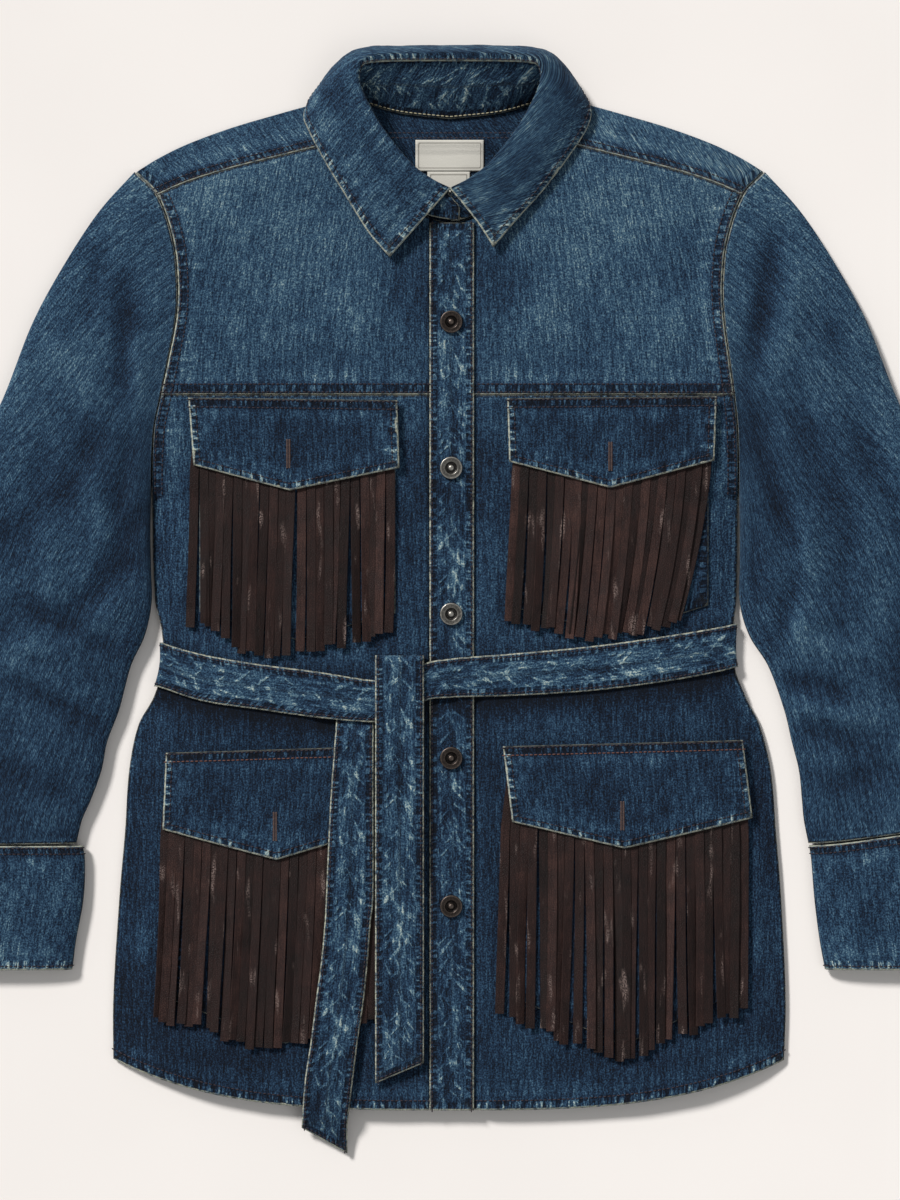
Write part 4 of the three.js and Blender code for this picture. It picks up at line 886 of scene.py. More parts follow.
def strand_lines(name, p, seed):
    rng = np.random.default_rng(seed)
    n = p["count"]
    top = p["top"] - 4
    share = (np.arange(n) + 0.5) / n
    ends = table("u y", ENDS_OF_STRANDS[name])
    low = along(ends, "u", share, "y") + rng.uniform(-3.0, 3.0, n)
    wander = np.cumsum(rng.normal(0, 2.0, n))
    wander = wander - np.linspace(wander[0], wander[-1], n)
    wander = np.clip(wander, -4.5, 4.5)
    lines, rolls, shades = [], [], []
    mid = 0.5 * (p["fringe"][0] + p["fringe"][1])
    for i in range(n):
        t = np.linspace(0, 1, 36)
        y = mix(top, low[i], t)
        lean = mix(p["lean"][0], p["lean"][1], share[i])
        sway = wander[i] * t ** 1.3 + 0.9 * np.sin(t * rng.uniform(2, 5) + rng.uniform(0, 6)) * t
        start = mix(p["fringe"][0], p["fringe"][1], share[i])
        x = mid + (start - mid) * (1 - 0.055 * (1 - ease(t / 0.32))) + lean * (0.2 * t + 0.8 * t * t) + sway
        free = ease((0.86 * t - 0.26) / 0.3)
        layer = STRAND_LOW + STRAND_STEP * (i % 2)
        rise = free * (0.35 * (i % 2) + rng.uniform(0, 0.5) + 0.25 * np.sin(5 * t + i))
        lines.append(stack(x, y, body_top(x, y) + layer + rise))
        turn = rng.normal(0, 0.12) + rng.normal(0, 0.2) * t + 0.08 * np.sin(7 * t + 2 * i)
        rolls.append(np.clip(turn, -0.4, 0.4) * free)
        shades.append(np.full(len(t), rng.uniform(0, 1)))
        rng.uniform()  # a spare draw, which keeps the strands after this one as they are
    return lines, rolls, shades

for seed, (name, p) in enumerate(POCKETS.items()):
    lines, rolls, shades = strand_lines(name, p, 20 + seed)
    guide = line_mesh(name + "_lines", lines, roll=rolls, shade=shades)
    pitch = (p["fringe"][1] - p["fringe"][0]) / p["count"]
    strands = grow(guide, strand_tree, name + "_strands", Strand_width=(pitch + 0.1) * MM,
                   Thickness=0.00095, Round=0.00028, Leather=leather)
    strands.data.polygons.foreach_set("use_smooth", np.zeros(len(strands.data.polygons), bool))
print("strands", len(pieces["left_lower_strands"].data.polygons), "faces")

# %% [markdown]
# ## The belt
#
# A belt of the garment's own cloth goes round the waist. One end turns over it and hangs down the
# front; the other comes from under it and hangs past the hem. All three are strips of doubled cloth,
# so each is laid as a ribbon: stations along it, and a few points across every station.

# %% Belt round the waist
KNOT_HIGH = 3.0

def belt_low(x, y):
    side_edge = half_width(x, y)
    knot = KNOT_HIGH * ease((x + 118) / 24) * ease((8 - x) / 10)
    over = (DOUBLE - PLACKET_DROP + REST) * ease((x + 24) / 7) * ease((27 - x) / 7)
    near = 0.5 * ease((np.abs(x) - side_edge + 40) / 30)
    return body_top(x, y) + np.maximum(np.maximum(REST + near, knot), over)

def belt_rows():
    v = np.linspace(0, 1, 16)
    outer, inner = [], []
    def front(x):
        upper, lower = along(BELT, "x", x, "upper"), along(BELT, "x", x, "lower")
        if len(outer) < 60 and x < -19.5:
            upper, lower = mix(-50, -47.8, (x + 36) / 16.5), mix(-79, -76, (x + 36) / 16.5)
        y = mix(upper, lower, v)
        xs = np.full_like(y, float(x))
        z = belt_low(xs, y)
        outer.append(stack(xs, y, z + DOUBLE))
        inner.append(stack(xs, y, z))
    def turn(side, upper, lower, angles):
        y = mix(upper, lower, v)
        x0 = edge_x(side, y) + 0.35
        high = body_top(side * (x0 - 1), y) + REST + 0.5
        mid, half = (high + DOUBLE) / 2, (high - DOUBLE) / 2
        for a in angles:
            outer.append(stack(side * (x0 + 2.5 * math.cos(a)), y, mid + (half + DOUBLE) * math.sin(a)))
            inner.append(stack(side * (x0 + 0.5 * math.cos(a)), y, mid + half * math.sin(a)))
    for x in np.linspace(-36, 207, 98):
        front(x)
    turn(1, -18, -50.5, np.linspace(np.pi / 2, -np.pi / 2, 9))
    for u in np.linspace(0.06, 0.94, 40):
        y = mix(mix(-18, -32, u), mix(-50.5, -65, u), v)
        x = mix(edge_x(1, -40), -edge_x(-1, -40), u)
        outer.append(stack(x, y, np.zeros_like(y)))
        inner.append(stack(x, y, np.full_like(y, DOUBLE)))
    turn(-1, -32, -65, np.linspace(-np.pi / 2, np.pi / 2, 9))
    for x in np.linspace(-210, -40, 70):
        front(x)
    return np.stack(outer, 1), np.stack(inner, 1)

def worn_strip(outer, seed):
    """Adds slanting puckers to the outer face of a strip of doubled cloth."""
    across, down = spread(outer)
    edge = np.minimum(across, across[-1:] - across)
    far_end = np.minimum(down, down[:, -1:] - down)
    outer = outer.copy()
    off_floor = outer[..., 2] > 3
    outer[..., 2] += pucker(down, across, seed, 0.28, 9.0) * ease(edge / 3) * ease(far_end / 3) * off_floor
    return outer

def belt_tone(x, y):
    return np.clip(0.5 + 0.07 * ripple(x / 17 + y / 23, 8) + 0.05 * ripple(x / 7 - y / 9, 9), 0, 1)
outer, inner = belt_rows()
shell("waist_belt", worn_strip(outer, 31), inner, tone=belt_tone, puck=2.1, rim=1.0)
print("waist belt", len(pieces["waist_belt"].data.polygons), "faces")

# %% The two hanging ends
LIFT_OF_ENDS = table("y rise", [
    (-440, -9.0), (-416, -8.2), (-398, -4.6), (-388, -0.6), (-382, 0.9), (-366, 3.0), (-346, 4.4),
    (-300, 4.5), (-214, 4.6), (-199, 6.3), (-150, 6.4), (-106, 6.4), (-96, 5.6), (-40, 5.5)])
UNDER = table("y left right", [
    (-396, -111.5, -77.2), (-360, -108.75, -72.75), (-330, -104.25, -69), (-300, -100.5, -64.5),
    (-270, -96.5, -61.5), (-240, -93.75, -59.2), (-225, -93, -57.4), (-150, -89.5, -57.2),
    (-91.5, -85.5, -57.2), (-66, -86, -57.2)])
LEG = (-56, -19.5)

def over_end():
    x = np.linspace(LEG[0], LEG[1], 16)
    u = np.linspace(0, 1, 16)
    outer, inner = [], []
    for y in np.linspace(-97, -47, 22):
        z = body_top(x, y) + REST
        outer.append(stack(x, y, z))
        inner.append(stack(x, y, z + DOUBLE))
    for t in np.linspace(0, np.pi, 12)[1:-1]:
        y0, bend = -44.9, 1.5
        mid = body_top(x, np.full_like(x, y0)) + REST + DOUBLE + bend
        c, s = -math.cos(t), math.sin(t)
        outer.append(stack(x, y0 + (bend + DOUBLE) * s, mid + (bend + DOUBLE) * c))
        inner.append(stack(x, y0 + bend * s, mid + bend * c))
    bottom = mix(-362, -346.5, u)
    for v in np.linspace(0, 1, 132):
        y = mix(-47, bottom, v)
        z = body_top(x, y) + along(LIFT_OF_ENDS, "y", y, "rise")
        outer.append(stack(x, y, z + DOUBLE))
        inner.append(stack(x, y, z))
    return np.stack(outer, 1), np.stack(inner, 1)

def under_end():
    u = np.linspace(0, 1, 16)
    outer, inner = [], []
    bottom = mix(-396.5, -416.4, u)
    for v in np.linspace(0, 1, 150):
        y = mix(-68, bottom, v)
        x = mix(along(UNDER, "y", y, "left"), along(UNDER, "y", y, "right"), u)
        rise = mix(REST, along(LIFT_OF_ENDS, "y", y, "rise"), ease((-92 - y) / 15))
        z = body_top(x, np.maximum(y, HEM)) + rise
        outer.append(stack(x, y, z + DOUBLE))
        inner.append(stack(x, y, z))
    return np.stack(outer, 1), np.stack(inner, 1)

for name, make, seed in (("belt_over", over_end, 41), ("belt_under", under_end, 51)):
    outer, inner = make()
    shell(name, worn_strip(outer, seed), inner, tone=lambda x, y: belt_tone(x, y) - 0.04, puck=2.1, rim=1.0)
print("belt ends made")

# %% [markdown]
# ## Collar
#
# A shirt collar is two parts: a stand sewn round the neck, and a leaf that rolls over it and lies on
# the shoulders. Each is a surface between curves round the neck. The leaf's cloth also goes over the
# roll and a little way down the inside of the stand, where its seam shows in the back of the neck.

# %% Collar tables and surfaces
COLLAR = table("s nx ny nz rx ry rz mx my mz ez", [
    (0, 0.4, 286.2, 13.4, 0.3, 307, 19.5, 22, 282, 20, 16.4),
    (1, 16, 290, 13, 14.4, 313.5, 21.5, 38, 293, 22, 15.8),
    (2, 31, 299, 12.8, 28, 323, 23, 50, 306, 24, 15.4),
    (3, 44, 310.5, 12.6, 40.5, 337, 24.5, 62, 324, 25.5, 15),
    (4, 57.5, 326, 12, 54, 355, 26, 76, 345, 26.5, 14.2),
    (5, 70, 343, 10.6, 64, 373, 27, 88, 366, 26, 12),
    (6, 72.6, 356, 8.4, 69.5, 386, 28, 95, 382, 24, 9),
    (7, 72.6, 367, 5.6, 70, 395, 28.4, 91, 396, 21, 5),
    (8, 71, 376.5, 2.8, 66.5, 402, 28.8, 82, 410, 19, 3.6),
    (9, 60, 373, 2.4, 58, 405, 29, 65, 418, 18, 3.5),
    (10, 36, 366.6, 2.4, 37, 406.5, 29.2, 39, 419, 18, 3.5),
    (11, 0, 362.6, 2.4, 0, 407, 29.4, 0, 419, 18, 3.5)])
LEAF = table("s lx ly rx ry", [
    (0, 44.7, 256.5, 31.5, 263.7), (1, 58.8, 273, 53, 289.7), (2, 69, 289, 66, 304.5),
    (3, 79, 306, 76, 317), (4, 91.5, 327, 87, 332), (5, 104.7, 352.5, 100, 352),
    (6, 107.5, 364, 103.5, 366), (7, 101, 378, 98, 379), (8, 84, 396, 82, 396), (9, 66, 402, 66, 402),
    (10, 40, 403, 40, 403), (11, 0, 403, 0, 403)])

def round_neck(s):
    s = np.clip(s, 0, 22)
    return np.where(s <= 11, -1.0, 1.0), np.where(s <= 11, s, 22 - s)

def collar_curve(s, letters):
    side, t = round_neck(s)
    x, y, z = (along(COLLAR, "s", t, letters + c) for c in "xyz")
    return np.stack([side * x, y, z], -1)

def stand_at(s, v):
    _, t = round_neck(s)
    v = v[..., None]
    p = mix(collar_curve(s, "n"), collar_curve(s, "r"), v)
    p[..., 2] += 2.2 * np.sin(np.pi * np.maximum(v[..., 0], 0)) * ease(t / 5)
    lap = ease((1.4 - s) / 1.4) * (1 - ease((v[..., 0] - 0.35) / 0.5))
    p[..., 0] += 8 * lap
    p[..., 2] += 2.0 * ease(2 * lap)
    return p

def leaf_at(s, v):
    side, t = round_neck(s)
    r, m = collar_curve(s, "r"), collar_curve(s, "m")
    right = side < 0
    ex = side * np.where(right, along(LEAF, "s", t, "lx"), along(LEAF, "s", t, "rx"))
    ey = np.where(right, along(LEAF, "s", t, "ly"), along(LEAF, "s", t, "ry"))
    e = np.stack([ex, ey, along(COLLAR, "s", t, "ez")], -1)
    v = v[..., None]
    return (1 - v) ** 2 * r + 2 * v * (1 - v) * m + v * v * e

def normal_at(surface, s, v, h=0.02):
    n = np.cross(surface(s + h, v) - surface(s - h, v), surface(s, v + h) - surface(s, v - h))
    return n / np.linalg.norm(n, axis=-1, keepdims=True)

ROUND_NECK = np.linspace(0.02, 21.98, 241)
STAND_HALF, LEAF_IN, LEAF_OUT = 0.8, 0.9, 2.9
S, V = np.meshgrid(ROUND_NECK, np.linspace(0, 1, 20), indexing="ij")
V = mix(-0.1 * ease((3 - np.minimum(S, 22 - S)) / 3), 0.985, V)
middle, normal = stand_at(S, V), normal_at(stand_at, S, V)
def stand_tone(x, y):
    return 0.47 + 0.08 * ripple(x / 9 + y / 12, 3) + 0.06 * ripple(x / 4 - y / 6, 5)
shell("neck_stand", middle + STAND_HALF * normal, middle - STAND_HALF * normal, tone=stand_tone, puck=2.0,
      rim=0.7)
print("stand", len(pieces["neck_stand"].data.polygons), "faces")

# %% Collar leaf, over the roll
def leaf_rows():
    mids, normals = [], []
    s = ROUND_NECK
    for v in (0.9, 0.95, 0.99):
        vv = np.full_like(s, v)
        mids.append(stand_at(s, vv))
        normals.append(normal_at(stand_at, s, vv))
    one, zero = np.full_like(s, 0.98), np.full_like(s, 0.02)
    n_in, n_out = normal_at(stand_at, s, one), normal_at(leaf_at, s, zero)
    for t in np.linspace(0, 1, 6)[1:-1]:
        n = mix(n_in, n_out, t)
        mids.append(collar_curve(s, "r"))
        normals.append(n / np.linalg.norm(n, axis=-1, keepdims=True))
    for v in np.linspace(0, 1, 27):
        vv = np.full_like(s, v)
        mids.append(leaf_at(s, vv))
        normals.append(normal_at(leaf_at, s, vv))
    mids, normals = np.stack(mids, 1), np.stack(normals, 1)
    lengths = np.cumsum(np.linalg.norm(np.diff(mids[:, 7:], axis=1), axis=2), 1)
    edge = np.full(mids.shape[:2], 30.0)
    edge[:, 7:-1] = lengths[:, -1:] - np.concatenate([np.zeros((len(s), 1)), lengths[:, :-1]], 1)
    edge[:, -1] = 0
    ends = np.minimum(np.arange(len(s)), np.arange(len(s))[::-1])[:, None] * 2.4
    edge = np.minimum(edge, ends)
    wave = 0.3 * ripple(S[:, :1] * 2.6, 2) + 0.2 * ripple(S[:, :1] * 6.1 + edge / 9, 3)
    wave = wave * ease(edge / 5) * ease((edge + 2) / 6) + 0.25 * np.exp(-((edge - 4) / 2.5) ** 2)
    outer = mids + (LEAF_OUT + wave * (np.arange(mids.shape[1]) > 8))[..., None] * normals
    return outer, mids + LEAF_IN * normals

outer, inner = leaf_rows()
def leaf_tone(x, y):
    return 0.43 + 0.07 * ripple(x / 13 + y / 17, 4) + 0.05 * ripple(x / 6 - y / 7, 6)
shell("collar_fold", outer, inner, tone=leaf_tone, puck=1.0, rim=1.3)
print("leaf", len(pieces["collar_fold"].data.polygons), "faces")

# %% [markdown]
# ## Tack buttons and neck label
#
# The buttons are turned metal: a rolled rim, a sunk ring and a small worn dome. A turned shape is
# quickest to make from its half outline spun round. The label is a small piece of tape, left plain.

# %% Buttons
def spun(name, x, y, base, outline, around=40):
    turn = np.linspace(0, 2 * np.pi, around, endpoint=False)
    rings = [stack(x + r * np.cos(turn), y + r * np.sin(turn), np.full(around, base + h))
             for r, h, _ in outline]
    outer = np.stack(rings, 1)
    n, m = outer.shape[:2]
    ids = np.arange(n * m).reshape(n, m)
    ids = np.vstack([ids, ids[:1]])
    quads = np.stack([ids[:-1, :-1], ids[1:, :-1], ids[1:, 1:], ids[:-1, 1:]], -1).reshape(-1, 4)
    points = outer.reshape(-1, 3)
    faces = [tuple(q) for q in quads.tolist()]
    faces += [tuple(ids[:-1, 0][::-1].tolist()), tuple(ids[:-1, -1].tolist())]
    mesh = bpy.data.meshes.new(name)
    mesh.from_pydata((points * MM).tolist(), [], faces)
    mesh.polygons.foreach_set("use_smooth", np.ones(len(mesh.polygons), bool))
    mesh.update()
    store(mesh, "rubbed", np.tile([w for _, _, w in outline], around))
    add_piece(name, mesh)

OUTLINE = [
    (6.6, 0, 0), (7.6, 0.25, 0), (8.2, 0.8, 0.1), (8.45, 1.5, 0.3), (8.35, 2.15, 0.6), (8.05, 2.5, 1),
    (7.7, 2.6, 1), (7.3, 2.5, 0.5), (6.6, 2.4, 0.35), (5.8, 2.42, 0.35), (5.1, 2.5, 0.5),
    (4.7, 2.4, 0.6), (4.4, 1.95, 0.1), (4.15, 1.6, 0), (3.6, 1.5, 0), (2.8, 1.52, 0), (2.4, 1.7, 0.1),
    (2.2, 2.2, 0.5), (1.9, 2.65, 0.9), (1.4, 2.95, 1), (0.8, 3.12, 1), (0.4, 3.15, 1)]
BUTTON_X, SHANK = 0.9, 0.3
for n, y in enumerate(BUTTON_YS):
    spun("tack_%d" % (n + 1), BUTTON_X, y, placket_top(BUTTON_X, y) + SHANK, OUTLINE)
print("buttons", len(pieces["tack_1"].data.polygons), "faces each")

# %% Neck label and tab
TAPE, TAPE_GAP = 1.0, 0.35

def tape(name, x0, x1, y0, y1):
    x = np.linspace(x0, x1, 40)[:, None]
    y = np.linspace(y0, y1, 22)[None, :]
    edge = np.minimum(np.minimum(x - x0, x1 - x), np.minimum(y - y0, y1 - y))
    bow = 0.35 * ripple(x / 13 + y / 17, x1) * ease(edge / 4) + 0.12 * np.exp(-((edge - 1.2) / 0.7) ** 2)
    low = CLOTH + TAPE_GAP
    shell(name, stack(x, y, low + TAPE + np.maximum(bow, -0.2)), stack(x, y, low), tone=0.9)

tape("label_tape", -26, 25.5, 323, 346.5)
tape("size_tape", -17, 15, 307, 322.6)
print("labels made")

# %% [markdown]
# ## Stitching
#
# The thread is a large part of how denim looks: double rows along the yokes and armholes, one row
# near each free edge. Each row is a line at a set distance inside an edge, found by measuring on the
# cloth itself. Geometry Nodes then lay one short thread on every step of the line. Thousands of
# objects placed by hand would be slower and could not be changed with one number.

# %% Rows of stitches as lines on the cloth
THREAD_LIFT = 0.12

def row_in(grid, edge, inset, trim=(0, 0)):
    """Points at `inset` mm inside one edge (L, R, T or B) of a grid."""
    g = grid if edge in "TB" else grid.transpose(1, 0, 2)
    g = g[:, ::-1] if edge in "BR" else g
    down = spread(g)[1]
    line = np.array([[np.interp(inset, down[i], g[i, :, c]) for c in range(3)] for i in range(len(g))])
    run = np.concatenate([[0], np.cumsum(np.linalg.norm(np.diff(line, axis=0), axis=1))])
    keep = (run >= trim[0]) & (run <= run[-1] - trim[1])
    return line[keep] + [0, 0, THREAD_LIFT]

def part_of(line, test):
    return line[test(line[:, 0], line[:, 1])]

def beside_placket(line, side):
    """Leaves out the stitches of the left front that would lie under the placket."""
    return part_of(line, lambda x, y: x > 20) if side == "left" else line

dark_rows, warm_rows, pale_rows, hole_rows, slit_rows = [], [], [], [], []
for side in ("right", "left"):
    yoke, front, cuff = (grids[side + end] for end in ("_yoke", "_front", "_wrist"))
    dark_rows += [beside_placket(row_in(yoke, "T", d), side) for d in (1.9, 7.9)]
    dark_rows.append(beside_placket(row_in(front, "B", 7.2), side))
    dark_rows += [row_in(yoke, "R", d) for d in (2.2, 7.6)]
    dark_rows += [part_of(row_in(front, "R", d), lambda x, y: y > 78) for d in (2.2, 7.6)]
    dark_rows += [row_in(cuff, "B", d) for d in (1.8, 6.2)] + [row_in(cuff, "T", 3.0)]
dark_rows += [row_in(grids["button_placket"], edge, 2.0) for edge in "LR"]
back_yoke_rows = [row_in(grids["shoulder_yoke"], "B", d) for d in (1.8, 5.6)]
dark_rows += [part_of(line, lambda x, y: np.abs(x) > 74.5) for line in back_yoke_rows]
dark_rows += [row_in(grids[name], edge, 2.4) for name in ("waist_belt", "belt_over", "belt_under")
              for edge in "LR"]
dark_rows += [row_in(grids[name], "B", 2.4, (3, 3)) for name in ("belt_over", "belt_under")]
leaf = grids["collar_fold"]
dark_rows += [row_in(leaf, "B", 5.0, (4, 4)), row_in(leaf, "T", 1.8)]
dark_rows += [row_in(leaf, edge, 5.0, (10, 5)) for edge in "LR"]
pale_rows.append(row_in(grids["neck_stand"], "T", 2.0))
for name in POCKETS:
    cover = grids[name + "_cover"]
    dark_rows.append(row_in(cover, "B", 5.2, (4, 4)))
    dark_rows += [row_in(cover, edge, 5.2, (7, 5)) for edge in "LR"]
    (warm_rows if "lower" in name else dark_rows).append(row_in(cover, "T", 7.0))
    dark_rows.append(row_in(cover, "T", 1.4))
    hx, hy = POCKETS[name]["hole"]
    top = cover.reshape(-1, 3)
    for dx, rows in ((-0.95, hole_rows), (0.95, hole_rows), (0, slit_rows)):
        y = np.linspace(hy - 10.5, hy + 10.5, 43) if dx else np.linspace(hy - 9.5, hy + 9.5, 39)
        at = np.stack([np.full_like(y, hx + dx), y], 1)
        near = np.argmin(np.hypot(top[None, :, 0] - at[:, None, 0], top[None, :, 1] - at[:, None, 1]), 1)
        rows.append(np.column_stack([at, np.full_like(y, top[near, 2].max() + (0.1 if dx else 0.0))]))
print("rows", len(dark_rows), len(warm_rows), len(pale_rows))

# %% Lay a thread on every step of each row
stitch_tree = node_tree("sewn stitches", {
    "Stitch step": ("Float", 0.0034), "Stitch length": ("Float", 0.0031), "Thread": ("Float", 0.00105),
    "Turn": ("Float", 0.0), "Seed": ("Int", 7), "Thread finish": ("Material", None)})
t_in = stitch_tree.nodes.new("NodeGroupInput")
t_out = stitch_tree.nodes.new("NodeGroupOutput")
chain = put(stitch_tree, "GeometryNodeMeshToCurve", Mesh=t_in.outputs["Lines"])
steps = put(stitch_tree, "GeometryNodeResampleCurve", {"mode": "LENGTH"}, Curve=chain.outputs["Curve"],
            Length=t_in.outputs["Stitch step"])
dots = put(stitch_tree, "GeometryNodeCurveToPoints", {"mode": "EVALUATED"}, Curve=steps.outputs["Curve"])
tangent = put(stitch_tree, "GeometryNodeInputTangent")
kept = put(stitch_tree, "GeometryNodeCaptureAttribute", Geometry=steps.outputs["Curve"])
kept.capture_items.new("VECTOR", "Way")
stitch_tree.links.new(tangent.outputs["Tangent"], kept.inputs["Way"])
stitch_tree.links.new(kept.outputs["Geometry"], dots.inputs["Curve"])
aim = put(stitch_tree, "FunctionNodeAlignRotationToVector", {"axis": "X", "pivot_axis": "AUTO"},
          Vector=kept.outputs["Way"])
jitter = put(stitch_tree, "FunctionNodeRandomValue", {"data_type": "FLOAT"}, i2=-0.09, i3=0.09,
             Seed=t_in.outputs["Seed"])
angle = put(stitch_tree, "ShaderNodeMath", {"operation": "ADD"}, i0=jitter.outputs[1], i1=t_in.outputs["Turn"])
swing = put(stitch_tree, "ShaderNodeCombineXYZ", Z=angle.outputs[0])
turned = put(stitch_tree, "FunctionNodeRotateRotation", {"rotation_space": "LOCAL"},
             Rotation=aim.outputs["Rotation"], Rotate_By=swing.outputs["Vector"])
bead = put(stitch_tree, "GeometryNodeMeshUVSphere", Segments=6, Rings=4, Radius=0.5)
size = put(stitch_tree, "ShaderNodeCombineXYZ", X=t_in.outputs["Stitch length"], Y=t_in.outputs["Thread"],
           Z=t_in.outputs["Thread"])
laid = put(stitch_tree, "GeometryNodeInstanceOnPoints", Points=dots.outputs["Points"],
           Instance=bead.outputs["Mesh"], Rotation=turned.outputs["Rotation"], Scale=size.outputs["Vector"])
whole = put(stitch_tree, "GeometryNodeRealizeInstances", Geometry=laid.outputs["Instances"])
finish = put(stitch_tree, "GeometryNodeSetMaterial", Geometry=whole.outputs["Geometry"],
             Material=t_in.outputs["Thread finish"])
stitch_tree.links.new(finish.outputs["Geometry"], t_out.inputs["Mesh"])

threads = {name: bpy.data.materials.new(name) for name in ("dark_thread", "warm_thread", "pale_thread",
                                                             "hole_thread")}
def sew(name, rows, finish, **sizes):
    guide = line_mesh(name + "_rows", [r for r in rows if len(r) > 1])
    piece = grow(guide, stitch_tree, name, Thread_finish=threads[finish], **sizes)
    piece.data.polygons.foreach_set("use_smooth", np.ones(len(piece.data.polygons), bool))
    print(name, len(piece.data.polygons), "faces")

sew("dark_stitches", dark_rows, "dark_thread")
sew("warm_stitches", warm_rows, "warm_thread")
sew("pale_stitches", pale_rows, "pale_thread")
sew("buttonhole_stitches", hole_rows, "hole_thread", Stitch_step=0.0009, Stitch_length=0.0017, Thread=0.0008,
    Turn=math.pi / 2)
sew("slit_stitches", slit_rows, "dark_thread", Stitch_step=0.0012, Stitch_length=0.0024, Thread=0.0008)

# %% [markdown]
# ## Denim
#
# Denim is dark blue threads one way and white ones the other, so close up it is a fine speckle, with
# longer thick and thin threads running down it. Along every seam the washed cloth has pale puckers.
# An image could show all that, but it would not reach the hidden sides. The finish is worked out
# from each piece's own cloth coordinates and from the distance to its sewn edge, kept earlier.

# %% Helpers for finishes
def linear(r, g, b):
    def one(c):
        c = c / 255
        return c / 12.92 if c <= 0.04045 else ((c + 0.055) / 1.055) ** 2.4
    return (one(r), one(g), one(b), 1.0)

def calc(tree, what, a, b=0.0, clamp=False):
    return put(tree, "ShaderNodeMath", {"operation": what, "use_clamp": clamp}, i0=a, i1=b).outputs[0]

def noise(tree, where, scale, detail=2.0, rough=0.5):
    return put(tree, "ShaderNodeTexNoise", Vector=where, Scale=scale, Detail=detail, Roughness=rough).outputs[0]

def number(tree, name):
    return put(tree, "ShaderNodeAttribute", {"attribute_name": name}).outputs["Fac"]

def between(tree, value, low, high, to_low=0.0, to_high=1.0):
    return put(tree, "ShaderNodeMapRange", {"interpolation_type": "SMOOTHSTEP"}, Value=value, From_Min=low,
               From_Max=high, To_Min=to_low, To_Max=to_high).outputs[0]

def falling(tree, value, low, high):
    """1 up to `low`, then down to 0 at `high`."""
    return between(tree, value, low, high, 1.0, 0.0)

def place_of(tree):
    return put(tree, "ShaderNodeTexCoord").outputs["Object"]

def cloth_of(tree):
    return put(tree, "ShaderNodeUVMap", {"uv_map": "cloth"}).outputs[0]

def stretch(tree, vector, x, y, z):
    return put(tree, "ShaderNodeMapping", Vector=vector, Scale=(x, y, z)).outputs[0]

def total(tree, *values):
    out = values[0]
    for value in values[1:]:
        out = calc(tree, "ADD", out, value)
    return out

def times(tree, *values):
    out = values[0]
    for value in values[1:]:
        out = calc(tree, "MULTIPLY", out, value)
    return out

def centred(tree, value, size):
    """Turns a noise of 0 to 1 into one of -size to +size."""
    return times(tree, calc(tree, "SUBTRACT", value, 0.5), 2 * size)

def colours(tree, value, stops):
    node = put(tree, "ShaderNodeValToRGB", Fac=value)
    ramp = node.color_ramp
    while len(ramp.elements) < len(stops):
        ramp.elements.new(0.5)
    for element, (at, colour) in zip(ramp.elements, stops):
        element.position = at
        element.color = colour
    return node.outputs["Color"]

def blend(tree, share, a, b):
    return put(tree, "ShaderNodeMix", {"data_type": "RGBA"}, i0=share, i6=a, i7=b).outputs[2]

def surface(material, colour, rough, bump=None, deep=0.0005, strength=1.0, **fixed):
    tree = material.node_tree
    shader = put(tree, "ShaderNodeBsdfPrincipled", Base_Color=colour, Roughness=rough)
    for label, value in fixed.items():
        shader.inputs[label.replace("_", " ")].default_value = value
    if bump is not None:
        dent = put(tree, "ShaderNodeBump", Height=bump, Distance=deep, Strength=strength)
        tree.links.new(dent.outputs[0], shader.inputs["Normal"])
    put(tree, "ShaderNodeOutputMaterial", Surface=shader.outputs[0])

def blank(material):
    material.use_nodes = True
    material.node_tree.nodes.clear()
    return material.node_tree

# %% The denim itself
INDIGO = [(0.0, linear(6, 11, 20)), (0.2, linear(13, 26, 43)), (0.36, linear(23, 44, 66)),
          (0.52, linear(40, 66, 90)), (0.68, linear(63, 93, 114)), (0.84, linear(108, 133, 141)),
          (1.0, linear(168, 180, 174))]

def threads_of(tree, cloth):
    """The speckle of the weave, and the thick and thin threads that run down it."""
    weave = ((820, 680, 0.7, 0.35, 0.65), (800, 150, 0.6, 0.34, 0.66), (430, 30, 0.5, 0.34, 0.66))
    return [between(tree, noise(tree, stretch(tree, cloth, x, y, 1), 1.0, 2.0, rough), low, high, -1.0, 1.0)
            for x, y, rough, low, high in weave]

def crackle(tree, cloth, turn, across, down, thin):
    """Thin pale broken lines in doubled cloth, turned by `turn` from its length."""
    turned = put(tree, "ShaderNodeMapping", Vector=cloth, Rotation=(0.0, 0.0, turn)).outputs[0]
    lines = noise(tree, stretch(tree, turned, across, down, 1), 1.0, 2.0, 0.45)
    away = calc(tree, "ABSOLUTE", calc(tree, "SUBTRACT", lines, 0.5))
    sparse = noise(tree, stretch(tree, turned, 120, 60, 1), 1.0, 1.0, 0.5)
    return times(tree, falling(tree, away, 0.0, thin), between(tree, sparse, 0.44, 0.6))

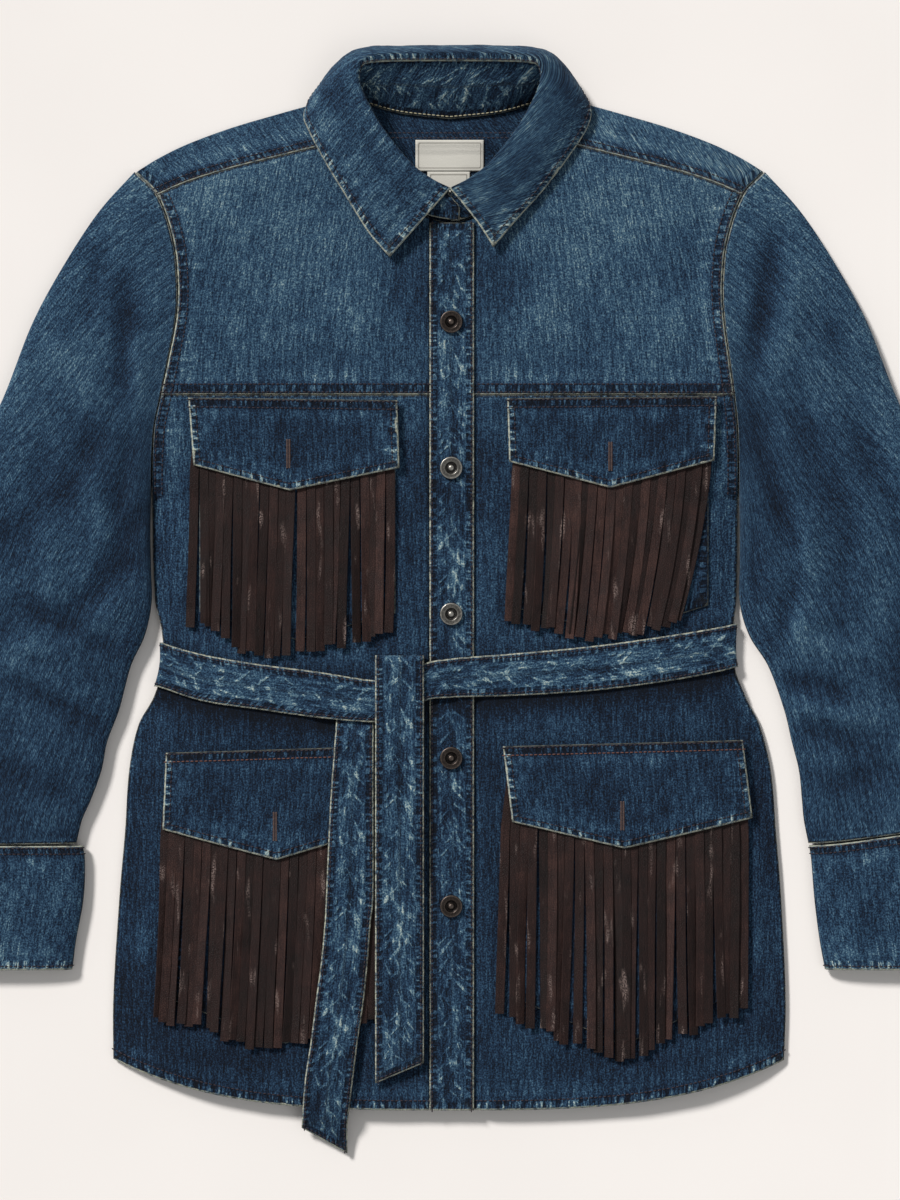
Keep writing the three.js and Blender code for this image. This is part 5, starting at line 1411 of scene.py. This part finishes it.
def denim(name, twist=0.0):
    material = bpy.data.materials.new(name)
    tree = blank(material)
    cloth = cloth_of(tree)
    place = place_of(tree)
    reach, run, puck, edge = (number(tree, label) for label in ("reach", "run", "puck", "rim"))
    speckle, slub, streak = threads_of(tree, cloth)
    cloud = noise(tree, place, 26.0, 3.0, 0.6)

    def seam_noise(way, per_way, per_reach, seed, detail, rough):
        """Noise that follows a seam: laid out by a way along it and the distance from it."""
        at = put(tree, "ShaderNodeCombineXYZ", X=times(tree, way, per_way), Y=times(tree, reach, per_reach),
                 Z=seed)
        return noise(tree, at.outputs[0], 1.0, detail, rough)

    def beside(pitch, long, seed, low, high):
        """Marks that stand across a seam: one every `pitch` along it, `long` away from it."""
        marks = seam_noise(run, 1.0 / pitch, 1.0 / long, twist + seed, 2.0, 0.5)
        return between(tree, marks, low, high, -1.0, 1.0)

    # the folded seam itself: dark, with pale puckers every three mm between its two rows of stitches
    width = calc(tree, "DIVIDE", reach, calc(tree, "MAXIMUM", puck, 0.2))
    strip = between(tree, puck, 1.6, 1.9)
    plain = calc(tree, "SUBTRACT", 1.0, strip)
    hem = times(tree, falling(tree, reach, 0.0052, 0.0068), strip)
    seam = total(tree, times(tree, falling(tree, width, 0.0082, 0.0094), plain), hem)
    inside = times(tree, between(tree, width, 0.0009, 0.0021), falling(tree, width, 0.0062, 0.0078))
    stitched = calc(tree, "ADD", times(tree, inside, plain), hem, True)
    ridges = times(tree, beside(0.0031, 0.016, 0.0, 0.44, 0.6), seam, stitched)
    # pale tufts that rise from the seam, and a rubbed zone just beside it
    tufts = times(tree, between(tree, beside(0.0048, 0.05, 3.0, 0.5, 0.72), -1.0, 1.0),
                  falling(tree, width, 0.009, 0.03), between(tree, width, 0.006, 0.0098), plain)
    halo = times(tree, between(tree, width, 0.009, 0.0125), falling(tree, width, 0.0125, 0.024), plain)
    # creases pressed into the strips of doubled cloth
    middle_of = between(tree, reach, 0.0048, 0.0088)
    long_lines = crackle(tree, cloth, 0.4, 105, 34, 0.055)
    slanted = total(tree, run, times(tree, reach, 0.9))
    strokes = between(tree, seam_noise(slanted, 190.0, 70.0, twist + 11.0, 1.0, 0.5), 0.55, 0.68)
    veins = times(tree, calc(tree, "MAXIMUM", long_lines, strokes), middle_of, strip)
    wash = noise(tree, stretch(tree, cloth, 125, 24, 1), 1.0, 3.0, 0.55)
    # hems worn pale in dashes, and a narrow painted shadow along the bare edges of a panel
    free = between(tree, edge, 1.1, 1.25)
    dashes = times(tree, beside(0.0044, 0.022, 7.0, 0.4, 0.62), falling(tree, reach, 0.002, 0.0105))
    faded = between(tree, reach, 0.0015, 0.0095, 0.2, 0.0)
    pale = times(tree, free, total(tree, times(tree, dashes, 0.21), faded))
    under = times(tree, falling(tree, edge, 0.265, 0.29), falling(tree, reach, 0.0004, 0.0018))
    # the worn edge, cream where the dye is gone
    broken = seam_noise(run, 210.0, 900.0, 0.0, 3.0, 0.6)
    blots = times(tree, between(tree, noise(tree, place, 42.0, 2.0, 0.6), 0.62, 0.7), free)
    wide = total(tree, times(tree, edge, 0.5), times(tree, blots, 1.1), 0.45)
    far = calc(tree, "DIVIDE", reach, wide)
    patchy = times(tree, between(tree, broken, 0.36, 0.6, 0.12, 1.0), edge)
    rim = calc(tree, "MULTIPLY", falling(tree, far, 0.0006, 0.0014), patchy, True)
    seam = times(tree, seam, calc(tree, "SUBTRACT", 1.0, free))
    tone = total(tree, number(tree, "tone"), pale, times(tree, speckle, 0.175), times(tree, slub, 0.11),
                 times(tree, streak, 0.08), centred(tree, cloud, 0.13), times(tree, ridges, 0.2),
                 times(tree, seam, -0.08), times(tree, tufts, 0.17), times(tree, halo, 0.07),
                 times(tree, veins, 0.31), times(tree, centred(tree, wash, 0.5), strip, middle_of),
                 times(tree, strip, -0.05), times(tree, under, -0.22))
    colour = blend(tree, times(tree, rim, 0.85), colours(tree, tone, INDIGO), linear(180, 182, 164))
    height = total(tree, times(tree, pale, 2.2), times(tree, ridges, 0.6), times(tree, veins, 0.9),
                   times(tree, centred(tree, wash, 2.2), strip, middle_of), times(tree, tufts, 0.3),
                   times(tree, speckle, 0.12), times(tree, slub, 0.08))
    surface(material, colour, 0.9, height, 0.0006, 0.9, Sheen_Weight=0.04, Sheen_Roughness=0.5,
            Specular_IOR_Level=0.16)
    return material

finishes = {"denim": denim("washed_denim"), "dark": denim("deep_denim", twist=5.0)}
print("denim has", len(finishes["denim"].node_tree.nodes), "nodes")

# %% [markdown]
# ## Leather, metal, thread and tape
#
# The leather is dark brown and nearly matt, with a fine pebbled grain and rubbed flecks, which are
# partly paler worn grain and partly painted highlights. The buttons are plated brass, dark in the
# hollows and rubbed bright on the raised parts. A maker could rub real parts with a cloth; here a
# number on each ring of the turned shape says how much it was rubbed.

# %% Leather
tree = blank(leather)
place = place_of(tree)
shade = number(tree, "shade")
cells = put(tree, "ShaderNodeTexVoronoi", {"feature": "DISTANCE_TO_EDGE"}, Vector=place, Scale=720.0).outputs[0]
grain = between(tree, cells, 0.0, 0.22)
patchy = noise(tree, place, 55.0, 3.0, 0.6)
lengthwise = noise(tree, stretch(tree, place, 900, 60, 400), 1.0, 2.0, 0.5)
value = total(tree, times(tree, shade, 0.44), centred(tree, patchy, 0.36), centred(tree, lengthwise, 0.26),
              times(tree, grain, 0.2), 0.03)
BROWNS = [(0.0, linear(15, 8, 7)), (0.45, linear(39, 24, 22)), (1.0, linear(78, 54, 48))]
brown = colours(tree, value, BROWNS)
rough = between(tree, patchy, 0.3, 0.7, 0.56, 0.72)
# rubbed flecks: pale specks that are partly worn grain and partly painted highlights on the leather
flecks = noise(tree, stretch(tree, place, 150, 26, 1), 1.0, 2.0, 0.5)
rubbed = times(tree, between(tree, flecks, 0.6, 0.76),
               between(tree, noise(tree, place, 1100.0, 2.0, 0.7), 0.44, 0.58))
worn = blend(tree, times(tree, rubbed, 0.8), brown, linear(138, 120, 114))
height = total(tree, times(tree, grain, 0.6), centred(tree, patchy, 0.5))
surface(leather, worn, rough, height, 0.0003, 0.8, Specular_IOR_Level=0.2)

# %% Antique metal, in two shades
def metal(name, dark, bright):
    material = bpy.data.materials.new(name)
    tree = blank(material)
    place = place_of(tree)
    spots = noise(tree, place, 900.0, 3.0, 0.6)
    rubbed = calc(tree, "ADD", number(tree, "rubbed"), centred(tree, spots, 0.3), True)
    halfway = tuple(0.5 * (a + b) for a, b in zip(dark, bright))
    colour = colours(tree, rubbed, [(0.0, dark), (0.55, halfway), (1.0, bright)])
    surface(material, colour, between(tree, spots, 0.3, 0.7, 0.28, 0.5), spots, 0.0001, 0.4, Metallic=0.85)
    return material

bronze = metal("antique_bronze", linear(20, 16, 15), linear(92, 82, 76))
silver = metal("antique_silver", linear(38, 36, 35), linear(158, 155, 148))

# %% Thread and tape
for name, colour in (("dark_thread", linear(38, 25, 34)), ("warm_thread", linear(98, 62, 52)),
                     ("pale_thread", linear(176, 168, 140)), ("hole_thread", linear(96, 76, 70))):
    tree = blank(threads[name])
    place = place_of(tree)
    fuzz = noise(tree, place, 1500.0, 2.0, 0.6)
    shade_of = blend(tree, between(tree, fuzz, 0.3, 0.7, 0.75, 1.0), (0.0, 0.0, 0.0, 1.0), colour)
    surface(threads[name], shade_of, 0.7, fuzz, 0.0001, 0.5)

tape_cloth = bpy.data.materials.new("woven_tape")
tree = blank(tape_cloth)
cloth = cloth_of(tree)
reach = number(tree, "reach")
ribs = noise(tree, stretch(tree, cloth, 2400, 900, 1), 1.0, 2.0, 0.6)
border = times(tree, between(tree, reach, 0.0018, 0.0021), falling(tree, reach, 0.0026, 0.0029), 0.7)
white = blend(tree, between(tree, ribs, 0.3, 0.7), linear(198, 195, 186), linear(208, 205, 196))
surface(tape_cloth, blend(tree, border, white, linear(96, 92, 84)), 0.85, ribs, 0.0002, 0.6)
print("finishes made:", [m.name for m in bpy.data.materials])

# %% Give each piece its finish
for name, piece in pieces.items():
    if name.endswith(("_strands", "_stitches")):
        continue
    piece.data.materials.clear()
    if name.startswith("tack_"):
        piece.data.materials.append(silver if name in ("tack_2", "tack_3") else bronze)
    elif name.endswith("_tape"):
        piece.data.materials.append(tape_cloth)
    else:
        piece.data.materials.append(finishes["dark" if name.endswith("_cover") else "denim"])

ground = bpy.data.materials.new("floor_paper")
tree = blank(ground)
place = place_of(tree)
paper = noise(tree, place, 6.0, 2.0, 0.5)
pale_paper = blend(tree, between(tree, paper, 0.3, 0.7), linear(237, 232, 228), linear(239, 234, 230))
surface(ground, pale_paper, 0.9, Specular_IOR_Level=0.1)
floor.data.materials.append(ground)
print(len(pieces), "pieces have a finish")

# %% [markdown]
# ## Say what each piece is
#
# Every piece of this model stands for one solid of the frame and moves with it. The size each piece of
# cloth was cut to, measured on the grid that made it, is printed, to hold against the true amount of
# cloth.

# %% Ride, replace and print the cut sizes
STANDS_FOR = {
    "back": "back_panel", "shoulder_yoke": "back_yoke", "button_placket": "placket",
    "waist_belt": "belt_waist", "belt_over": "belt_end_over", "belt_under": "belt_end_under",
    "neck_stand": "collar_stand", "collar_fold": "collar_leaf", "label_tape": "label_main",
    "size_tape": "label_size"}
for side in ("right", "left"):
    for end, node in (("_front", "_front_panel"), ("_yoke", "_front_yoke"), ("_arm", "_sleeve"),
                      ("_wrist", "_cuff")):
        STANDS_FOR[side + end] = side + node
for name in POCKETS:
    for end, node in (("_patch", "_pocket"), ("_cover", "_flap"), ("_strands", "_fringe")):
        STANDS_FOR[name + end] = name + node
for n in range(len(BUTTON_YS)):
    STANDS_FOR["tack_%d" % (n + 1)] = "button_%d" % (n + 1)

for name, piece in pieces.items():
    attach(piece, "root")
    if name in STANDS_FOR:
        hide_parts(STANDS_FOR[name])
print("sheets:", {name: tuple(round(v, 4) for v in cut) for name, cut in cuts.items()})
